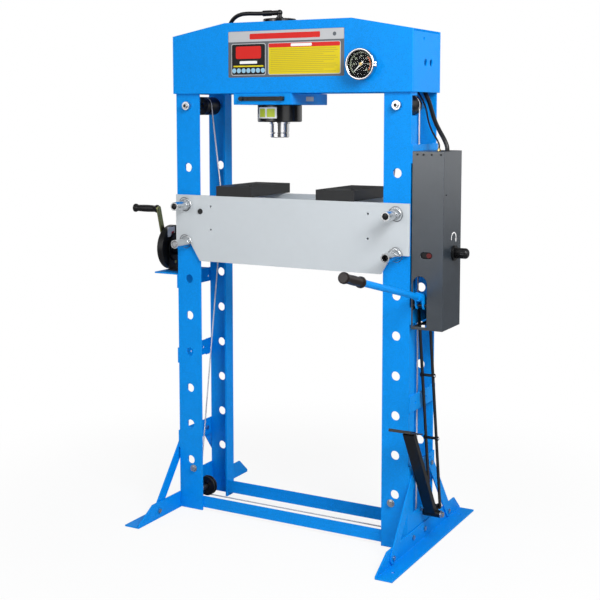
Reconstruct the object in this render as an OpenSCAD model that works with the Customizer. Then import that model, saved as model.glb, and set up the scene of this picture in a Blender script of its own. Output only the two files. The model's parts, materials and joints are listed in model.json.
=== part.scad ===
// Floor-standing hydraulic shop press. Millimetres, +Z up, floor at z = 0.
// X runs across the front (left is negative), Y runs from the front to the back.

/* [Frame] */
// half the distance between the centre lines of the two columns
column_x = 425; // [410:5:440]
// distance from the front face of the front webs to the back face of the rear webs
frame_depth = 230; // [222:2:240]
// pitch of the height holes
hole_pitch = 140; // [136:1:142]
// height of the lowest height hole
first_hole_z = 196; // [190:1:202]
// bore of the height holes
hole_d = 33; // [32.6:0.2:35]
// wall of the column sections
section_t = 8; // [6:1:9]
// flange depth of the column sections
flange_w = 50; // [46:1:54]

/* [Head] */
// height of the underside of the head
head_z = 1589; // [1580:1:1595]
// height of the head plates at their ends
head_end_h = 211; // [205:1:220]
// how much higher the head plates are in the middle
head_rise = 42; // [36:1:48]
// half the length of the level top edge
head_flat = 255; // [240:5:270]
// thickness of head and bed plates
plate_t = 10; // [8:1:12]

/* [Cylinder] */
// sideways position of the cylinder, from the middle
cyl_x = -96; // [-105:1:-88]
// outside of the lower cylinder body
cyl_d = 163; // [155:1:168]
// ram diameter
ram_d = 69; // [64:1:72]
// how far the ram shows below the cylinder
ram_out = 57; // [50:1:60]
// width of the carriage
carriage_w = 238; // [230:2:246]

/* [Bed] */
// height of the bed plates in the middle
bed_h = 246; // [238:2:250]
// half the length of the lower edge of the bed
bed_flat = 370; // [360:2:374]
// diameter of the bed pins
pin_d = 32.2; // [31.6:0.2:32.2]
// how far the pins stand out in front
pin_out = 84; // [75:1:90]
// press block width
block_w = 150; // [140:2:154]
// press block length
block_l = 290; // [280:2:296]
// press block thickness
block_h = 37; // [32:1:38]

/* [Feet] */
// length of the feet
foot_l = 770; // [750:5:790]
// width of the foot angle
foot_w = 63; // [60:1:66]
// spacing of the anchor holes along the foot
anchor_pitch = 624; // [610:2:636]

/* [Pump] */
// width of the pump case
case_w = 114; // [110:1:120]
// depth of the pump case
case_d = 164; // [160:1:170]
// height of the pump case
case_h = 605; // [600:1:615]
// length of the hand lever from its pivot
lever_l = 612; // [590:2:630]
// hand lever tube diameter
lever_d = 22; // [20:1:24]
// foot pedal length from its pivot
pedal_l = 398; // [388:2:404]

/* [Winch and cables] */
// diameter of the winch cover
cover_d = 172; // [166:1:176]
// length of the crank between its two axes
crank_l = 216; // [205:1:225]
// diameter of the lower pulleys
low_pulley_d = 76; // [72:1:80]
// diameter of the upper rollers
top_roller_d = 68; // [64:1:70]
// cable diameter
cable_d = 5; // [4:0.5:6]

/* [Hidden] */
$fn = 40;

web_w = 100;
hy = frame_depth / 2;              // half depth, webs' outer faces
cx = column_x;
xo = cx + web_w / 2;               // outer face of a column
xi = cx - web_w / 2;               // inner face of a column
rows = 9;
column_z0 = 4;                     // foot of the columns
function hole_z(k) = first_hole_z + hole_pitch * k;
up_z = hole_z(7);                  // upper bed pins
lo_z = hole_z(6);                  // lower bed pins
end_t = 7;                         // plates that close the head
head_x = xo + end_t;
head_top = head_z + head_end_h + head_rise;
upright_top = head_z + head_end_h - 20;
head_y = hy + plate_t;             // outside of the head plates
bed_top = up_z + 38;
bed_y = hy + plate_t;
tie_t = 6;
bar_t = 6;                         // crossbars and straps
tie_x = xo + tie_t;                // outer face of the tie bars
tie_z = first_hole_z + 42;         // lowest tie bars
tie_h = 66;
right_ties = [[hole_z(2) + 16, 58], [hole_z(4) + 44, 60], [hole_z(8) + 34, 62]];
left_ties = [[hole_z(3) - 48, 58]];
brace_t = 5;
brace_w = 42;
brace_front = [-257, 30];          // lower bolts of the braces
brace_rear = [253, 34];
brace_y = hy - 42;                 // upper bolts of the braces
brace_z = tie_z + 32;
bolt_d = 10;
bolt_bore = bolt_d + 0.2;
web_bolt = [-hy + 39, 40];         // bolts of foot and column
plate_bolt = [28, 38];
gusset_h = 120;
leg_h = foot_w;
foot_t = 6;
axle_z = head_z - 44;              // upper rollers
low_z = 61;                        // lower pulleys
pulley_w = 22;
strap_x = cx - 13;                 // strap bolt
strap_z = low_z + 103;
strap_d = 12;
axle_d = 18;                       // upper axle
pulley_axle_d = 14;
rr = top_roller_d / 2;
lr = low_pulley_d / 2;
cr = cable_d / 2;
top_wrap = rr - cr;                // cable centre line round a roller
low_wrap = lr - cr - 1;
gy = head_y;                       // gauge seat
gx = 305;
gz = head_z + 94;
gauge_d = 100;
recess_d = gauge_d - 8;
dial_d = recess_d - 0.2;
needle_d = 8;
stem_d = 20;
// carriage and cylinder
slide_gap = 0.5;
rail_w = 25;
rail_h = 12;
car_z0 = head_z - 41;
car_z1 = head_z - slide_gap;
car_y = hy + 14;                   // front of the carriage
car_half = carriage_w / 2;
neck_half = car_half - 8;
barrel_d = 130;
bore_d = 96;
bush_h = 44;                       // guide bush below the bore
run_gap = 0.08;                    // running clearance of the ram
cyl_h = 62;
cyl_z0 = car_z0 - cyl_h;
cyl_top = head_top + 4;
ram_z0 = cyl_z0 - ram_out;
sad_h = 15;
peg_d = 24;                        // peg of the saddle
ram_l = 300;
piston_h = 36;
elbow_arm = 34;                    // from the cylinder's axis to the hose ferrule
ferrule_l = 35;
elbow_z = cyl_top + 36;
// pump side
case_x0 = tie_x;
case_x1 = case_x0 + case_w;
case_y0 = -hy;
case_y1 = case_y0 + case_d;
case_z0 = 786;
case_z1 = case_z0 + case_h;
wall = 2;
lug_t = 5;                         // flat pieces of bracket, lever, pedal and rods
slot_w = 50;                       // lever slot
bracket_x = case_x0 + wall + 1;
slot_x0 = bracket_x + lug_t - 2;
slot_x1 = slot_x0 + slot_w;
lx = slot_x0 + slot_w / 2 + 1;     // middle plane of lever, rods and pedal
lug_x = slot_w / 2 - 5 - lug_t;    // outside of the lugs, from the middle plane
rod_x = lug_x + lug_t + 2;         // outside of the rods
pin_x = rod_x + 1.5;               // ends of the linkage pins
hub_x0 = lx - 29;                  // sleeve of the pedal
hub_x1 = lx + 35;
piv_y = case_y0 + 7;               // lever pivot
piv_z = case_z0 + 83;
top_y = piv_y + 28;                // rods' upper pin
top_z = piv_z + 3;
slot_top_z = piv_z + 75;
open_top = piv_z + 106;            // top of the open part of the case's inner side
ped_y = 10;                        // pedal pivot
ped_z = 108;
ped_d = 12;
rod_y = ped_y + 34;                // rods' lower pin
rod_z = ped_z + 16;
lever_a = 13.6;
tube_up = 27;                      // tube axis above the pivot
window_x = lx + 11;
window_z = case_z0 + 255;
window_h = 22;
vent_z = case_z1 - 147;
knob_y = case_y0 + 96;
knob_z = case_z0 + 258;
knob_d = 36;
shaft_d = 10;                      // shaft of the release knob
hose_r = 7.5;
line_r = 3;
hose_x = case_x0 + 91;             // hose through the case top
hose_y = case_y0 + 85;
union_x = case_x0 + 67;            // gauge line's union
union_y = case_y0 + 71;
union_d = 7.9;
pin_big = 12;                      // linkage pins in their lugs
pin_small = 9.5;                   // ends of the lever's pin in its bracket
pedal_a = 121.4;                   // lean of the pedal arm
pedal_end = [ped_y + pedal_l * cos(pedal_a), ped_z + pedal_l * sin(pedal_a)];
plate_w = 80;                      // foot plate of the pedal
plate_l = 108;
// bed: spacers, cable anchors and the round end that shows in front
spacers = [for (x = [-cx + 104, cx - 104]) for (z = [up_z - 2, up_z - 88]) [x, z]];
spacer_bore = 8;
anchors = [[-cx + 80, up_z - 36], [-cx + 67, lo_z + 20], [cx - 80, up_z - 36]];
anchor_d = 16;
plug = [-cx + 59, up_z - 22];
plug_d = 20;
wire_d = 4.16;                     // cross wire of the pin clips
clip_r = pin_d / 2 + 7.5;
// winch
wz = 997;
side_t = 4;
cover_t = 2.5;
drum_axle_d = 16;
drum_d = 60;
pinion_d = 14;
pin_ratio = 4;
pinion_y = -5;
pinion_z = wz - 56;
gear_r = norm([pinion_y, pinion_z - wz]) * pin_ratio / (pin_ratio + 1);
shelf_z = wz - cover_d / 2 - 0.6;
shelf_h = 54;
shelf_l = 119;                     // ends short of the crank arm
shelf_w = 202;
wx1 = -xo - 24;                    // inner side plate
wx0 = -xo - 92;                    // outer side plate
cov0 = wx0 - 26;                   // outside of the cover
arm_x = cov0 - 10;                 // outer face of the crank arm
arm_t = 6;
crank_a = 15.1;
crank_y = pinion_y - crank_l * sin(crank_a);
crank_z = pinion_z + crank_l * cos(crank_a);
grip_l = 110;
grip_d = 28;
grip_pin_d = 10;
cable_gap = 0.3;

// inner points of the hose and of the gauge line
hose_points = [
  [568, -28, 1412], [555, -22, 1434], [537, -12, 1457], [519, 0, 1481], [504, 12, 1505],
  [491, 24, 1530], [478, 36, 1555], [463, 45, 1580], [446, 51, 1604], [424, 53, 1626],
  [398, 53, 1645], [370, 56, 1660], [340, 64, 1672], [310, 73, 1682], [280, 79, 1690],
  [250, 81, 1696], [220, 82, 1701], [190, 83, 1705], [160, 84, 1708], [130, 85, 1710],
  [100, 86, 1711], [70, 87, 1712], [40, 88, 1713], [10, 88, 1714], [-20, 88, 1715],
  [-50, 88, 1716], [-80, 88, 1717], [-110, 88, 1718], [-140, 88, 1719], [-170, 88, 1720],
  [-200, 87, 1722], [-230, 86, 1726], [-260, 83, 1733], [-287, 76, 1744], [-309, 64, 1760],
  [-324, 49, 1781], [-331, 34, 1805], [-326, 20, 1831], [-310, 9, 1855], [-287, 3, 1873],
  [-260, 0, 1882], [-232, 0, 1884], [-205, 0, 1883]];
line_points = [
  [548, -44, 1412], [541, -42, 1426], [528, -36, 1442], [514, -28, 1460], [500, -16, 1482],
  [488, -2, 1504], [477, 14, 1526], [464, 26, 1550], [449, 33, 1572], [434, 36, 1594],
  [420, 36, 1614], [404, 32, 1632], [386, 24, 1647], [366, 12, 1660], [346, -4, 1670],
  [328, -24, 1677], [315, -46, 1681], [308, -68, 1683], [305, -84, 1683]];

module bx(x0, x1, y0, y1, z0, z1) translate([x0, y0, z0]) cube([x1 - x0, y1 - y0, z1 - z0]);
module rx(y, z, x0, x1, d) translate([x0, y, z]) rotate([0, 90, 0]) cylinder(d = d, h = x1 - x0);
module ry(x, z, y0, y1, d) translate([x, y1, z]) rotate([90, 0, 0]) cylinder(d = d, h = y1 - y0);
module rz(x, y, z0, z1, d) translate([x, y, z0]) cylinder(d = d, h = z1 - z0);
module yz(x0, x1, pts) translate([x0, 0, 0]) rotate([90, 0, 90]) linear_extrude(x1 - x0) polygon(pts);
module xz(y0, y1, pts) translate([0, y1, 0]) rotate([90, 0, 0]) linear_extrude(y1 - y0) polygon(pts);
module hexx(y, z, x0, x1, af) translate([x0, y, z]) rotate([0, 90, 0])
  cylinder(d = af / cos(30), h = x1 - x0, $fn = 6);
module hexy(x, z, y0, y1, af) translate([x, y1, z]) rotate([90, 0, 0])
  cylinder(d = af / cos(30), h = y1 - y0, $fn = 6);
// box and round piece on side s (-1 left, 1 right), between two distances from the middle
module side_bx(s, xa, xb, y0, y1, z0, z1) bx(s > 0 ? xa : -xb, s > 0 ? xb : -xa, y0, y1, z0, z1);
module side_rx(s, y, z, xa, xb, d) rx(y, z, s > 0 ? xa : -xb, s > 0 ? xb : -xa, d);
// ring round an axis along Y
module ring_y(x, z, y0, y1, d, bore) difference() {
  ry(x, z, y0, y1, d);
  ry(x, z, y0 - 1, y1 + 1, bore);
}

// round tube swept along points; ref is a direction never parallel to the path
function unit(v) = v / norm(v);
function tang(p, i) = let (n = len(p))
  unit(i == 0 ? p[1] - p[0]
    : i == n - 1 ? p[n - 1] - p[n - 2]
    : unit(p[i + 1] - p[i]) + unit(p[i] - p[i - 1]));
module sweep(p, r, n, ref) {
  m = len(p);
  pts = [for (i = [0 : m - 1]) let (t = tang(p, i), u = unit(cross(ref, t)), v = cross(t, u))
    for (j = [0 : n - 1]) p[i] + r * (cos(360 * j / n) * u + sin(360 * j / n) * v)];
  side = [for (i = [0 : m - 2]) for (j = [0 : n - 1]) let (a = i * n + j, b = i * n + (j + 1) % n)
    each [[a, b, a + n], [b, b + n, a + n]]];
  capa = [for (j = [1 : n - 2]) [0, j + 1, j]];
  capb = [for (j = [1 : n - 2]) [(m - 1) * n, (m - 1) * n + j, (m - 1) * n + j + 1]];
  polyhedron(points = pts, faces = [for (f = concat(side, capa, capb)) [f[0], f[2], f[1]]]);
}

module height_holes(x) for (k = [0 : rows - 1]) ry(x, hole_z(k), -hy - 1, hy + 1, hole_d);

// front column section: web in front, flange outside; s is the side
module front_section(s) color([0, 0.52, 0.87]) difference() {
  union() {
    side_bx(s, xi, xo, -hy, -hy + section_t, column_z0, upright_top);
    side_bx(s, xo - section_t, xo, -hy, -hy + flange_w, column_z0, upright_top);
  }
  height_holes(s * cx);
  ry(s * cx, axle_z, -hy - 1, -hy + section_t + 1, axle_d + 0.1);
  // bolt holes for the strap, the brace and the foot
  ry(s * strap_x, strap_z, -hy - 1, -hy + section_t + 1, strap_d + 0.1);
  side_rx(s, -brace_y, brace_z, xo - section_t - 1, xo + 1, bolt_bore);
  side_rx(s, web_bolt[0], web_bolt[1], xo - section_t - 1, xo + 1, bolt_bore);
  // window in the flange beside the roller
  side_bx(s, xo - section_t - 1, xo + 1, -hy + section_t, -hy + flange_w + 1, axle_z - rr - 1, head_z - 11);
}
// rear column section: web at the back, flange inside
module rear_section(s) color([0, 0.4, 0.77]) difference() {
  union() {
    side_bx(s, xi, xo, hy - section_t, hy, column_z0, upright_top);
    side_bx(s, xi, xi + section_t, hy - flange_w, hy, column_z0, upright_top);
  }
  height_holes(s * cx);
  ry(s * cx, axle_z, hy - section_t - 1, hy + 1, axle_d + 0.1);
}
module upright_fl() front_section(-1);
module upright_fr() front_section(1);
module upright_rl() rear_section(-1);
module upright_rr() rear_section(1);

// flat bar that ties the front and rear sections, outside a column
module tie(s, z0, h, holes, d) difference() {
  side_bx(s, xo, tie_x, -hy, hy, z0, z0 + h);
  for (q = holes) side_rx(s, q[0], q[1], xo - 1, tie_x + 1, d);
}
module tie_bars() color([0.1, 0.56, 0.9]) {
  for (s = [-1, 1]) tie(s, tie_z, tie_h, [[-brace_y, brace_z], [brace_y, brace_z]], bolt_bore);
  tie(1, right_ties[0][0], right_ties[0][1], [for (y = [-65, 28]) [y, right_ties[0][0] + 28]], 11);
  tie(-1, left_ties[0][0], left_ties[0][1], [for (y = [-28, 59]) [y, left_ties[0][0] + 29]], 11);
  for (q = [right_ties[1], right_ties[2]]) tie(1, q[0], q[1], [], bolt_bore);
  // plates between the sections at the bottom of each column
  for (s = [-1, 1]) difference() {
    side_bx(s, xo - tie_t, xo, -hy + flange_w, hy - section_t, column_z0, column_z0 + gusset_h);
    side_rx(s, plate_bolt[0], plate_bolt[1], xo - tie_t - 1, xo + 1, bolt_bore);
    if (s > 0) rx(ped_y, ped_z, xo - tie_t - 1, xo + 1, ped_d + 0.1);
  }
}
module crossbars() color([0, 0.43, 0.8]) {
  bx(-xi - 10, xi + 10, -hy + section_t, -hy + section_t + bar_t, 14, 58);
  bx(-xi, xi, hy - flange_w + 2, hy - flange_w + 2 + bar_t, 22, 70);
}

module foot(s) color([0.1, 0.56, 0.92]) difference() {
  yl = foot_l / 2;
  union() {
    yz(s > 0 ? xo : -xo - foot_t, s > 0 ? xo + foot_t : -xo,
       [[-yl, 0], [yl, 0], [yl, 10], [yl - 60, leg_h], [-yl + 90, leg_h], [-yl, 10]]);
    side_bx(s, xo, xo + foot_w, -yl, yl, 0, foot_t);
  }
  for (e = [-1, 1]) rz(s * (xo + foot_w / 2 + 1), e * anchor_pitch / 2, -1, foot_t + 1, 14);
  for (q = [brace_front, web_bolt, plate_bolt, brace_rear])
    side_rx(s, q[0], q[1], xo - 1, xo + foot_t + 1, bolt_bore);
}
module foot_left() foot(-1);
module foot_right() foot(1);

// flat bar from a to b (each [y, z]) lying against x0
module brace(x0, a, b) {
  l = norm(b - a);
  an = atan2(b[1] - a[1], b[0] - a[0]);
  difference() {
    translate([x0, a[0], a[1]]) rotate([an, 0, 0]) union() {
      translate([0, 0, -brace_w / 2]) cube([brace_t, l, brace_w]);
      for (u = [0, l]) translate([0, u, 0]) rotate([0, 90, 0]) cylinder(d = brace_w, h = brace_t);
    }
    for (q = [a, b]) rx(q[0], q[1], x0 - 1, x0 + brace_t + 1, bolt_bore);
  }
}
module braces() color([0.12, 0.58, 0.93]) for (s = [-1, 1]) {
  x0 = s > 0 ? tie_x : -tie_x - brace_t;
  brace(x0, brace_front, [-brace_y, brace_z]);
  brace(x0, brace_rear, [brace_y, brace_z]);
}

// hexagon bolt through x, head outside, nut inside
module bolt_x(s, q, xa, xb) {
  side_rx(s, q[0], q[1], xa, xb, bolt_d);
  hexx(q[0], q[1], s > 0 ? xb : -xb - 5.5, s > 0 ? xb + 5.5 : -xb, 1.5 * bolt_d);
  hexx(q[0], q[1], s > 0 ? xa : -xa - 7, s > 0 ? xa + 7 : -xa, 1.5 * bolt_d);
}
module frame_bolts() color([0.75, 0.76, 0.78]) for (s = [-1, 1]) {
  for (q = [brace_front, brace_rear]) bolt_x(s, q, xo - 7, tie_x + brace_t);
  bolt_x(s, [-brace_y, brace_z], xo - section_t - 7, tie_x + brace_t);
  bolt_x(s, [brace_y, brace_z], xo - 7, tie_x + brace_t);
  bolt_x(s, web_bolt, xo - section_t - 7, xo + foot_t);
  bolt_x(s, plate_bolt, xo - tie_t - 7, xo + foot_t);
  // strap bolt through the front web
  ry(s * strap_x, strap_z, -hy - 2.5, -hy + section_t + bar_t, strap_d);
  ry(s * strap_x, strap_z, -hy - 2.5, -hy, 28);
  hexy(s * strap_x, strap_z, -hy - 9.5, -hy - 2.5, 1.5 * strap_d);
  hexy(s * strap_x, strap_z, -hy + section_t + bar_t, -hy + section_t + bar_t + 8, 1.5 * strap_d);
  if (s > 0) {
    // pivot bolt of the pedal, with its two washers
    rx(ped_y, ped_z, xo - tie_t - 6, hub_x1 + 4, ped_d);
    hexx(ped_y, ped_z, xo - tie_t - 6, xo - tie_t, 1.5 * ped_d);
    rx(ped_y, ped_z, xo, hub_x0 - 0.4, 20);
    rx(ped_y, ped_z, hub_x1 + 0.4, hub_x1 + 4, 24);
    hexx(ped_y, ped_z, hub_x1 + 4, hub_x1 + 11, 1.5 * ped_d);
  }
}
module pulley_straps() color([0, 0.45, 0.82]) for (s = [-1, 1]) difference() {
  side_bx(s, strap_x - 13, cx + 14, -hy + section_t, -hy + section_t + bar_t, low_z - 22, strap_z + 14);
  ry(s * strap_x, strap_z, -hy, -hy + section_t + bar_t + 1, strap_d + 0.1);
  ry(s * cx, low_z, -hy, -hy + section_t + bar_t + 1, pulley_axle_d + 0.1);
}
module pulley_axles() color([0.72, 0.73, 0.75]) for (s = [-1, 1]) {
  // upper: from the front web to the rear web
  ry(s * cx, axle_z, -hy - 20, hy + 12, axle_d);
  ring_y(s * cx, axle_z, -hy - 14, -hy, 32, axle_d);
  ring_y(s * cx, axle_z, hy, hy + 12, 30, axle_d);
  // lower: from the strap to the pulley
  y1 = pulley_w / 2 + 1.5;
  ry(s * cx, low_z, -hy + section_t, y1 + 4.5, pulley_axle_d);
  ring_y(s * cx, low_z, y1, y1 + 4.5, 24, pulley_axle_d);
  ring_y(s * cx, low_z, -hy + section_t + bar_t, -y1, 20, pulley_axle_d);
}

module head_plate(y0, y1) xz(y0, y1, [
  [-head_x, head_z], [head_x, head_z], [head_x, head_z + head_end_h],
  [head_flat, head_top], [-head_flat, head_top], [-head_x, head_z + head_end_h]]);
module head_front() color([0.16, 0.62, 0.93]) difference() {
  head_plate(-head_y, -hy);
  ry(gx, gz, -head_y - 1, -hy + 1, stem_d + 0.1);
}
module head_rear() color([0, 0.4, 0.77]) head_plate(hy, head_y);
module head_ends() color([0.2, 0.6, 0.92]) for (s = [-1, 1]) difference() {
  side_bx(s, xo, head_x, -hy, hy, head_z, head_z + head_end_h - 8);
  for (q = [[-8, 110, 25], [41, 110, 25], [-25, 30, 10]])
    side_rx(s, q[0], head_z + head_end_h - q[1], xo - 1, head_x + 1, q[2]);
}
// rails inside the head that carry the carriage
module head_rails() color([0, 0.4, 0.77]) {
  bx(-xi + 1, xi - 1, -hy, -hy + rail_w, head_z, head_z + rail_h);
  bx(-xi + 1, xi - 1, hy - rail_w, hy, head_z, head_z + rail_h);
}

module gauge_case() color([0.8, 0.81, 0.83]) difference() {
  union() {
    ry(gx, gz, -gy - 34, -gy, gauge_d);
    ry(gx, gz, -gy - 40, -gy - 26, gauge_d + 8);
    ry(gx, gz, -gy, -hy + 22, stem_d);
  }
  ry(gx, gz, -gy - 41, -gy - 22, recess_d);
  ry(gx, gz, -gy - 41, -gy - 13.9, needle_d + 0.1);
}
module gauge_dial() color([0.07, 0.08, 0.1]) ring_y(gx, gz, -gy - 24, -gy - 22, dial_d, needle_d + 0.1);
module gauge_glass() color([0.85, 0.9, 0.95, 0.3]) ry(gx, gz, -gy - 38, -gy - 36, dial_d);
module gauge_needle() color([0.95, 0.95, 0.95]) {
  translate([gx, -gy, gz]) rotate([0, 45, 0])
    xz(-28.5, -27, [[-2.6, 12], [2.6, 12], [0.8, -36], [-0.8, -36]]);
  ry(gx, gz, -gy - 30, -gy - 26.5, 12);
  ry(gx, gz, -gy - 27, -gy - 14, needle_d);
}

// sliding carriage: table under the head, neck between the rails, plate on top of them
module carriage() color([0.14, 0.58, 0.92]) difference() {
  union() {
    bx(cyl_x - car_half, cyl_x + car_half, -car_y, hy + 35, car_z0, car_z1);
    bx(cyl_x - neck_half, cyl_x + neck_half, -hy + rail_w + slide_gap, hy - rail_w - slide_gap,
       car_z1 - 1, head_z + rail_h + 1);
    bx(cyl_x - neck_half, cyl_x + neck_half, -hy + 1, hy - 1,
       head_z + rail_h + slide_gap, head_z + 2 * rail_h);
  }
  rz(cyl_x, 0, car_z0 - 1, head_z + 2 * rail_h + 1, barrel_d);
}
module carriage_bar() color([0.07, 0.07, 0.08]) {
  bar_z = car_z0 + 21.5;
  difference() {
    bx(cyl_x - 92, cyl_x + 92, -car_y - 5, -car_y, bar_z - 7.5, bar_z + 7.5);
    bx(cyl_x - 60, cyl_x + 60, -car_y - 6, -car_y - 2, bar_z - 3.5, bar_z + 3.5);
  }
  for (e = [-84, 84]) hexy(cyl_x + e, bar_z, -car_y - 12, -car_y - 5, 16);
}
module press_cylinder() color([0.06, 0.06, 0.07]) difference() {
  union() {
    rz(cyl_x, 0, cyl_z0, car_z0, cyl_d);
    rz(cyl_x, 0, car_z0 - 1, cyl_top, barrel_d);
    rz(cyl_x, 0, cyl_top - 1, cyl_top + 13, barrel_d - 8);
  }
  rz(cyl_x, 0, cyl_z0 - 1, cyl_z0 + bush_h + 1, ram_d + 2 * run_gap);
  rz(cyl_x, 0, cyl_z0 + bush_h, cyl_top - 20, bore_d);
}
module gland_ring() color([0.78, 0.79, 0.8]) difference() {
  rz(cyl_x, 0, cyl_z0 - 7, cyl_z0, ram_d + 7);
  rz(cyl_x, 0, cyl_z0 - 8, cyl_z0 + 1, ram_d + 2 * run_gap);
}
module hose_elbow() color([0.12, 0.12, 0.13]) {
  rz(cyl_x, 0, elbow_z - 23, elbow_z - 15, 26);
  rz(cyl_x, 0, elbow_z - 15, elbow_z, 18);
  translate([cyl_x, 0, elbow_z]) sphere(d = 22);
  rx(0, elbow_z, cyl_x - elbow_arm, cyl_x, 18);
  rx(0, elbow_z, cyl_x - elbow_arm - ferrule_l, cyl_x - elbow_arm, 21);
}
module ram() color([0.82, 0.83, 0.85]) difference() {
  union() {
    rz(cyl_x, 0, ram_z0 + sad_h + 3, ram_z0 + ram_l - piston_h + 1, ram_d);
    rz(cyl_x, 0, ram_z0 + ram_l - piston_h, ram_z0 + ram_l, bore_d - 2 * run_gap);
  }
  rz(cyl_x, 0, ram_z0 + sad_h, ram_z0 + 2 * sad_h + 15, peg_d + 0.1);
}
module ram_saddle() color([0.8, 0.81, 0.82]) {
  rz(cyl_x, 0, ram_z0, ram_z0 + sad_h, ram_d);
  rz(cyl_x, 0, ram_z0 + sad_h, ram_z0 + sad_h + 3, ram_d - 7);
  rz(cyl_x, 0, ram_z0 + sad_h + 3, ram_z0 + 2 * sad_h + 15, peg_d);
}

// bed plate with half-round seats for the lower pins
module bed_plate(y0, y1) color([0.8, 0.82, 0.85]) difference() {
  xz(y0, y1, [[-xo, bed_top], [-xo, lo_z], [-cx + 12, lo_z],
    [-bed_flat, bed_top - bed_h], [bed_flat, bed_top - bed_h],
    [cx - 12, lo_z], [xo, lo_z], [xo, bed_top]]);
  for (s = [-1, 1]) {
    ry(s * cx, up_z, y0 - 1, y1 + 1, hole_d);
    ry(s * cx, lo_z, y0 - 1, y1 + 1, hole_d);
  }
  for (q = spacers) ry(q[0], q[1], y0 - 1, y1 + 1, spacer_bore);
}
module bed_front() difference() {
  bed_plate(-bed_y, -hy);
  ry(plug[0], plug[1], -bed_y - 1, -hy + 1, plug_d + 0.1);
}
module bed_rear() bed_plate(hy, bed_y);
module bed_spacers() color([0.7, 0.72, 0.75]) {
  for (q = spacers) ring_y(q[0], q[1], -hy, hy, 26, spacer_bore);
  for (q = anchors) ry(q[0], q[1], -hy, hy, anchor_d);
  // round end of the cross rod that shows in front
  ry(plug[0], plug[1], -bed_y - 3, -hy, plug_d);
}

module block(x0) color([0.08, 0.085, 0.09]) {
  difference() {
    bx(x0, x0 + block_w, -bed_y, -bed_y + block_l, bed_top, bed_top + block_h);
    rz(x0 + block_w - 10, -bed_y + 10, bed_top + 8, bed_top + block_h + 1, 12);
  }
  rz(x0 + block_w - 10, -bed_y + 10, bed_top + 8, bed_top + block_h + 9, 11.9);
}
module press_block_left() block(cyl_x - 49 - block_w);
module press_block_right() block(119);

// wire bow clip round a pin in front of the bed plate
module clip(x, z, y) translate([x, y, z]) rotate([90, 0, 0]) difference() {
  rotate_extrude() translate([clip_r, 0]) circle(d = 3.2, $fn = 12);
  translate([-2 * clip_r, -2 * clip_r, -5]) cube([4 * clip_r, 2 * clip_r, 10]);
}
module bed_pin(s, z) color([0.78, 0.79, 0.81]) {
  x = s * cx;
  y0 = -bed_y - pin_out;
  clip_y = -bed_y - 9;
  difference() {
    ry(x, z, y0, bed_y + 14, pin_d);
    ry(x, z, y0 - 1, y0 + 24, pin_d - 9);
    rx(clip_y, z, x - clip_r - 1, x + clip_r + 1, wire_d + 0.04);
  }
  // cross wire and bow of the clip
  rx(clip_y, z, x - clip_r, x + clip_r, wire_d);
  clip(x, z, clip_y);
}
module pin_upper_left() bed_pin(-1, up_z);
module pin_upper_right() bed_pin(1, up_z);
module pin_lower_left() bed_pin(-1, lo_z);
module pin_lower_right() bed_pin(1, lo_z);

// groove for the cable round an axis along Y, cut between the radii r0 and r1
module groove(x, z, half, r0, r1) ring_y(x, z, -half, half, 2 * r1, 2 * r0);
module top_roller(s, y0, y1) color([0.05, 0.05, 0.06]) difference() {
  ry(s * cx, axle_z, y0, y1, top_roller_d);
  groove(s * cx, axle_z, cr + 1, top_wrap - cr - cable_gap, rr + 1);
  ry(s * cx, axle_z, y0 - 1, y1 + 1, axle_d + 0.12);
}
module roller_top_left() top_roller(-1, -28, 62);
module roller_top_right() top_roller(1, -72, 18);
module low_pulley(s) color([0.05, 0.05, 0.06]) difference() {
  half = pulley_w / 2;
  ry(s * cx, low_z, -half, half, low_pulley_d);
  groove(s * cx, low_z, cr + 1.5, low_wrap - cr - cable_gap, lr + 1);
  ry(s * cx, low_z, -half - 1, -half + 3, 30);
  ry(s * cx, low_z, half - 3, half + 1, 30);
  ry(s * cx, low_z, -half - 1, half + 1, pulley_axle_d + 0.12);
}
module pulley_low_left() low_pulley(-1);
module pulley_low_right() low_pulley(1);

// shelf and winch
module winch_shelf() color([0.1, 0.5, 0.85]) difference() {
  union() {
    bx(-tie_x, -xo, -hy, hy, shelf_z - shelf_h, shelf_z);
    bx(-xo - shelf_l, -xo - 1, -shelf_w / 2, shelf_w / 2, shelf_z - bar_t, shelf_z);
  }
  for (y = [4 - shelf_w / 2, shelf_w / 2 - 4]) rx(y, shelf_z - 34, -tie_x - 1, -xo + 1, bolt_bore);
}
module winch_frame() color([0.05, 0.05, 0.06]) difference() {
  union() {
    for (x = [wx1 - side_t, wx0]) yz(x, x + side_t,
      [[-48, shelf_z], [48, shelf_z], [44, wz + 30], [20, wz + 56], [-20, wz + 56], [-44, wz + 30]]);
    bx(wx0, wx1, -48, 48, shelf_z, shelf_z + side_t);
  }
  rx(0, wz, wx0 - 1, wx1 + 1, drum_axle_d + 0.12);
  rx(pinion_y, pinion_z, wx0 - 1, wx0 + side_t + 1, pinion_d + 0.12);
}
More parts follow.
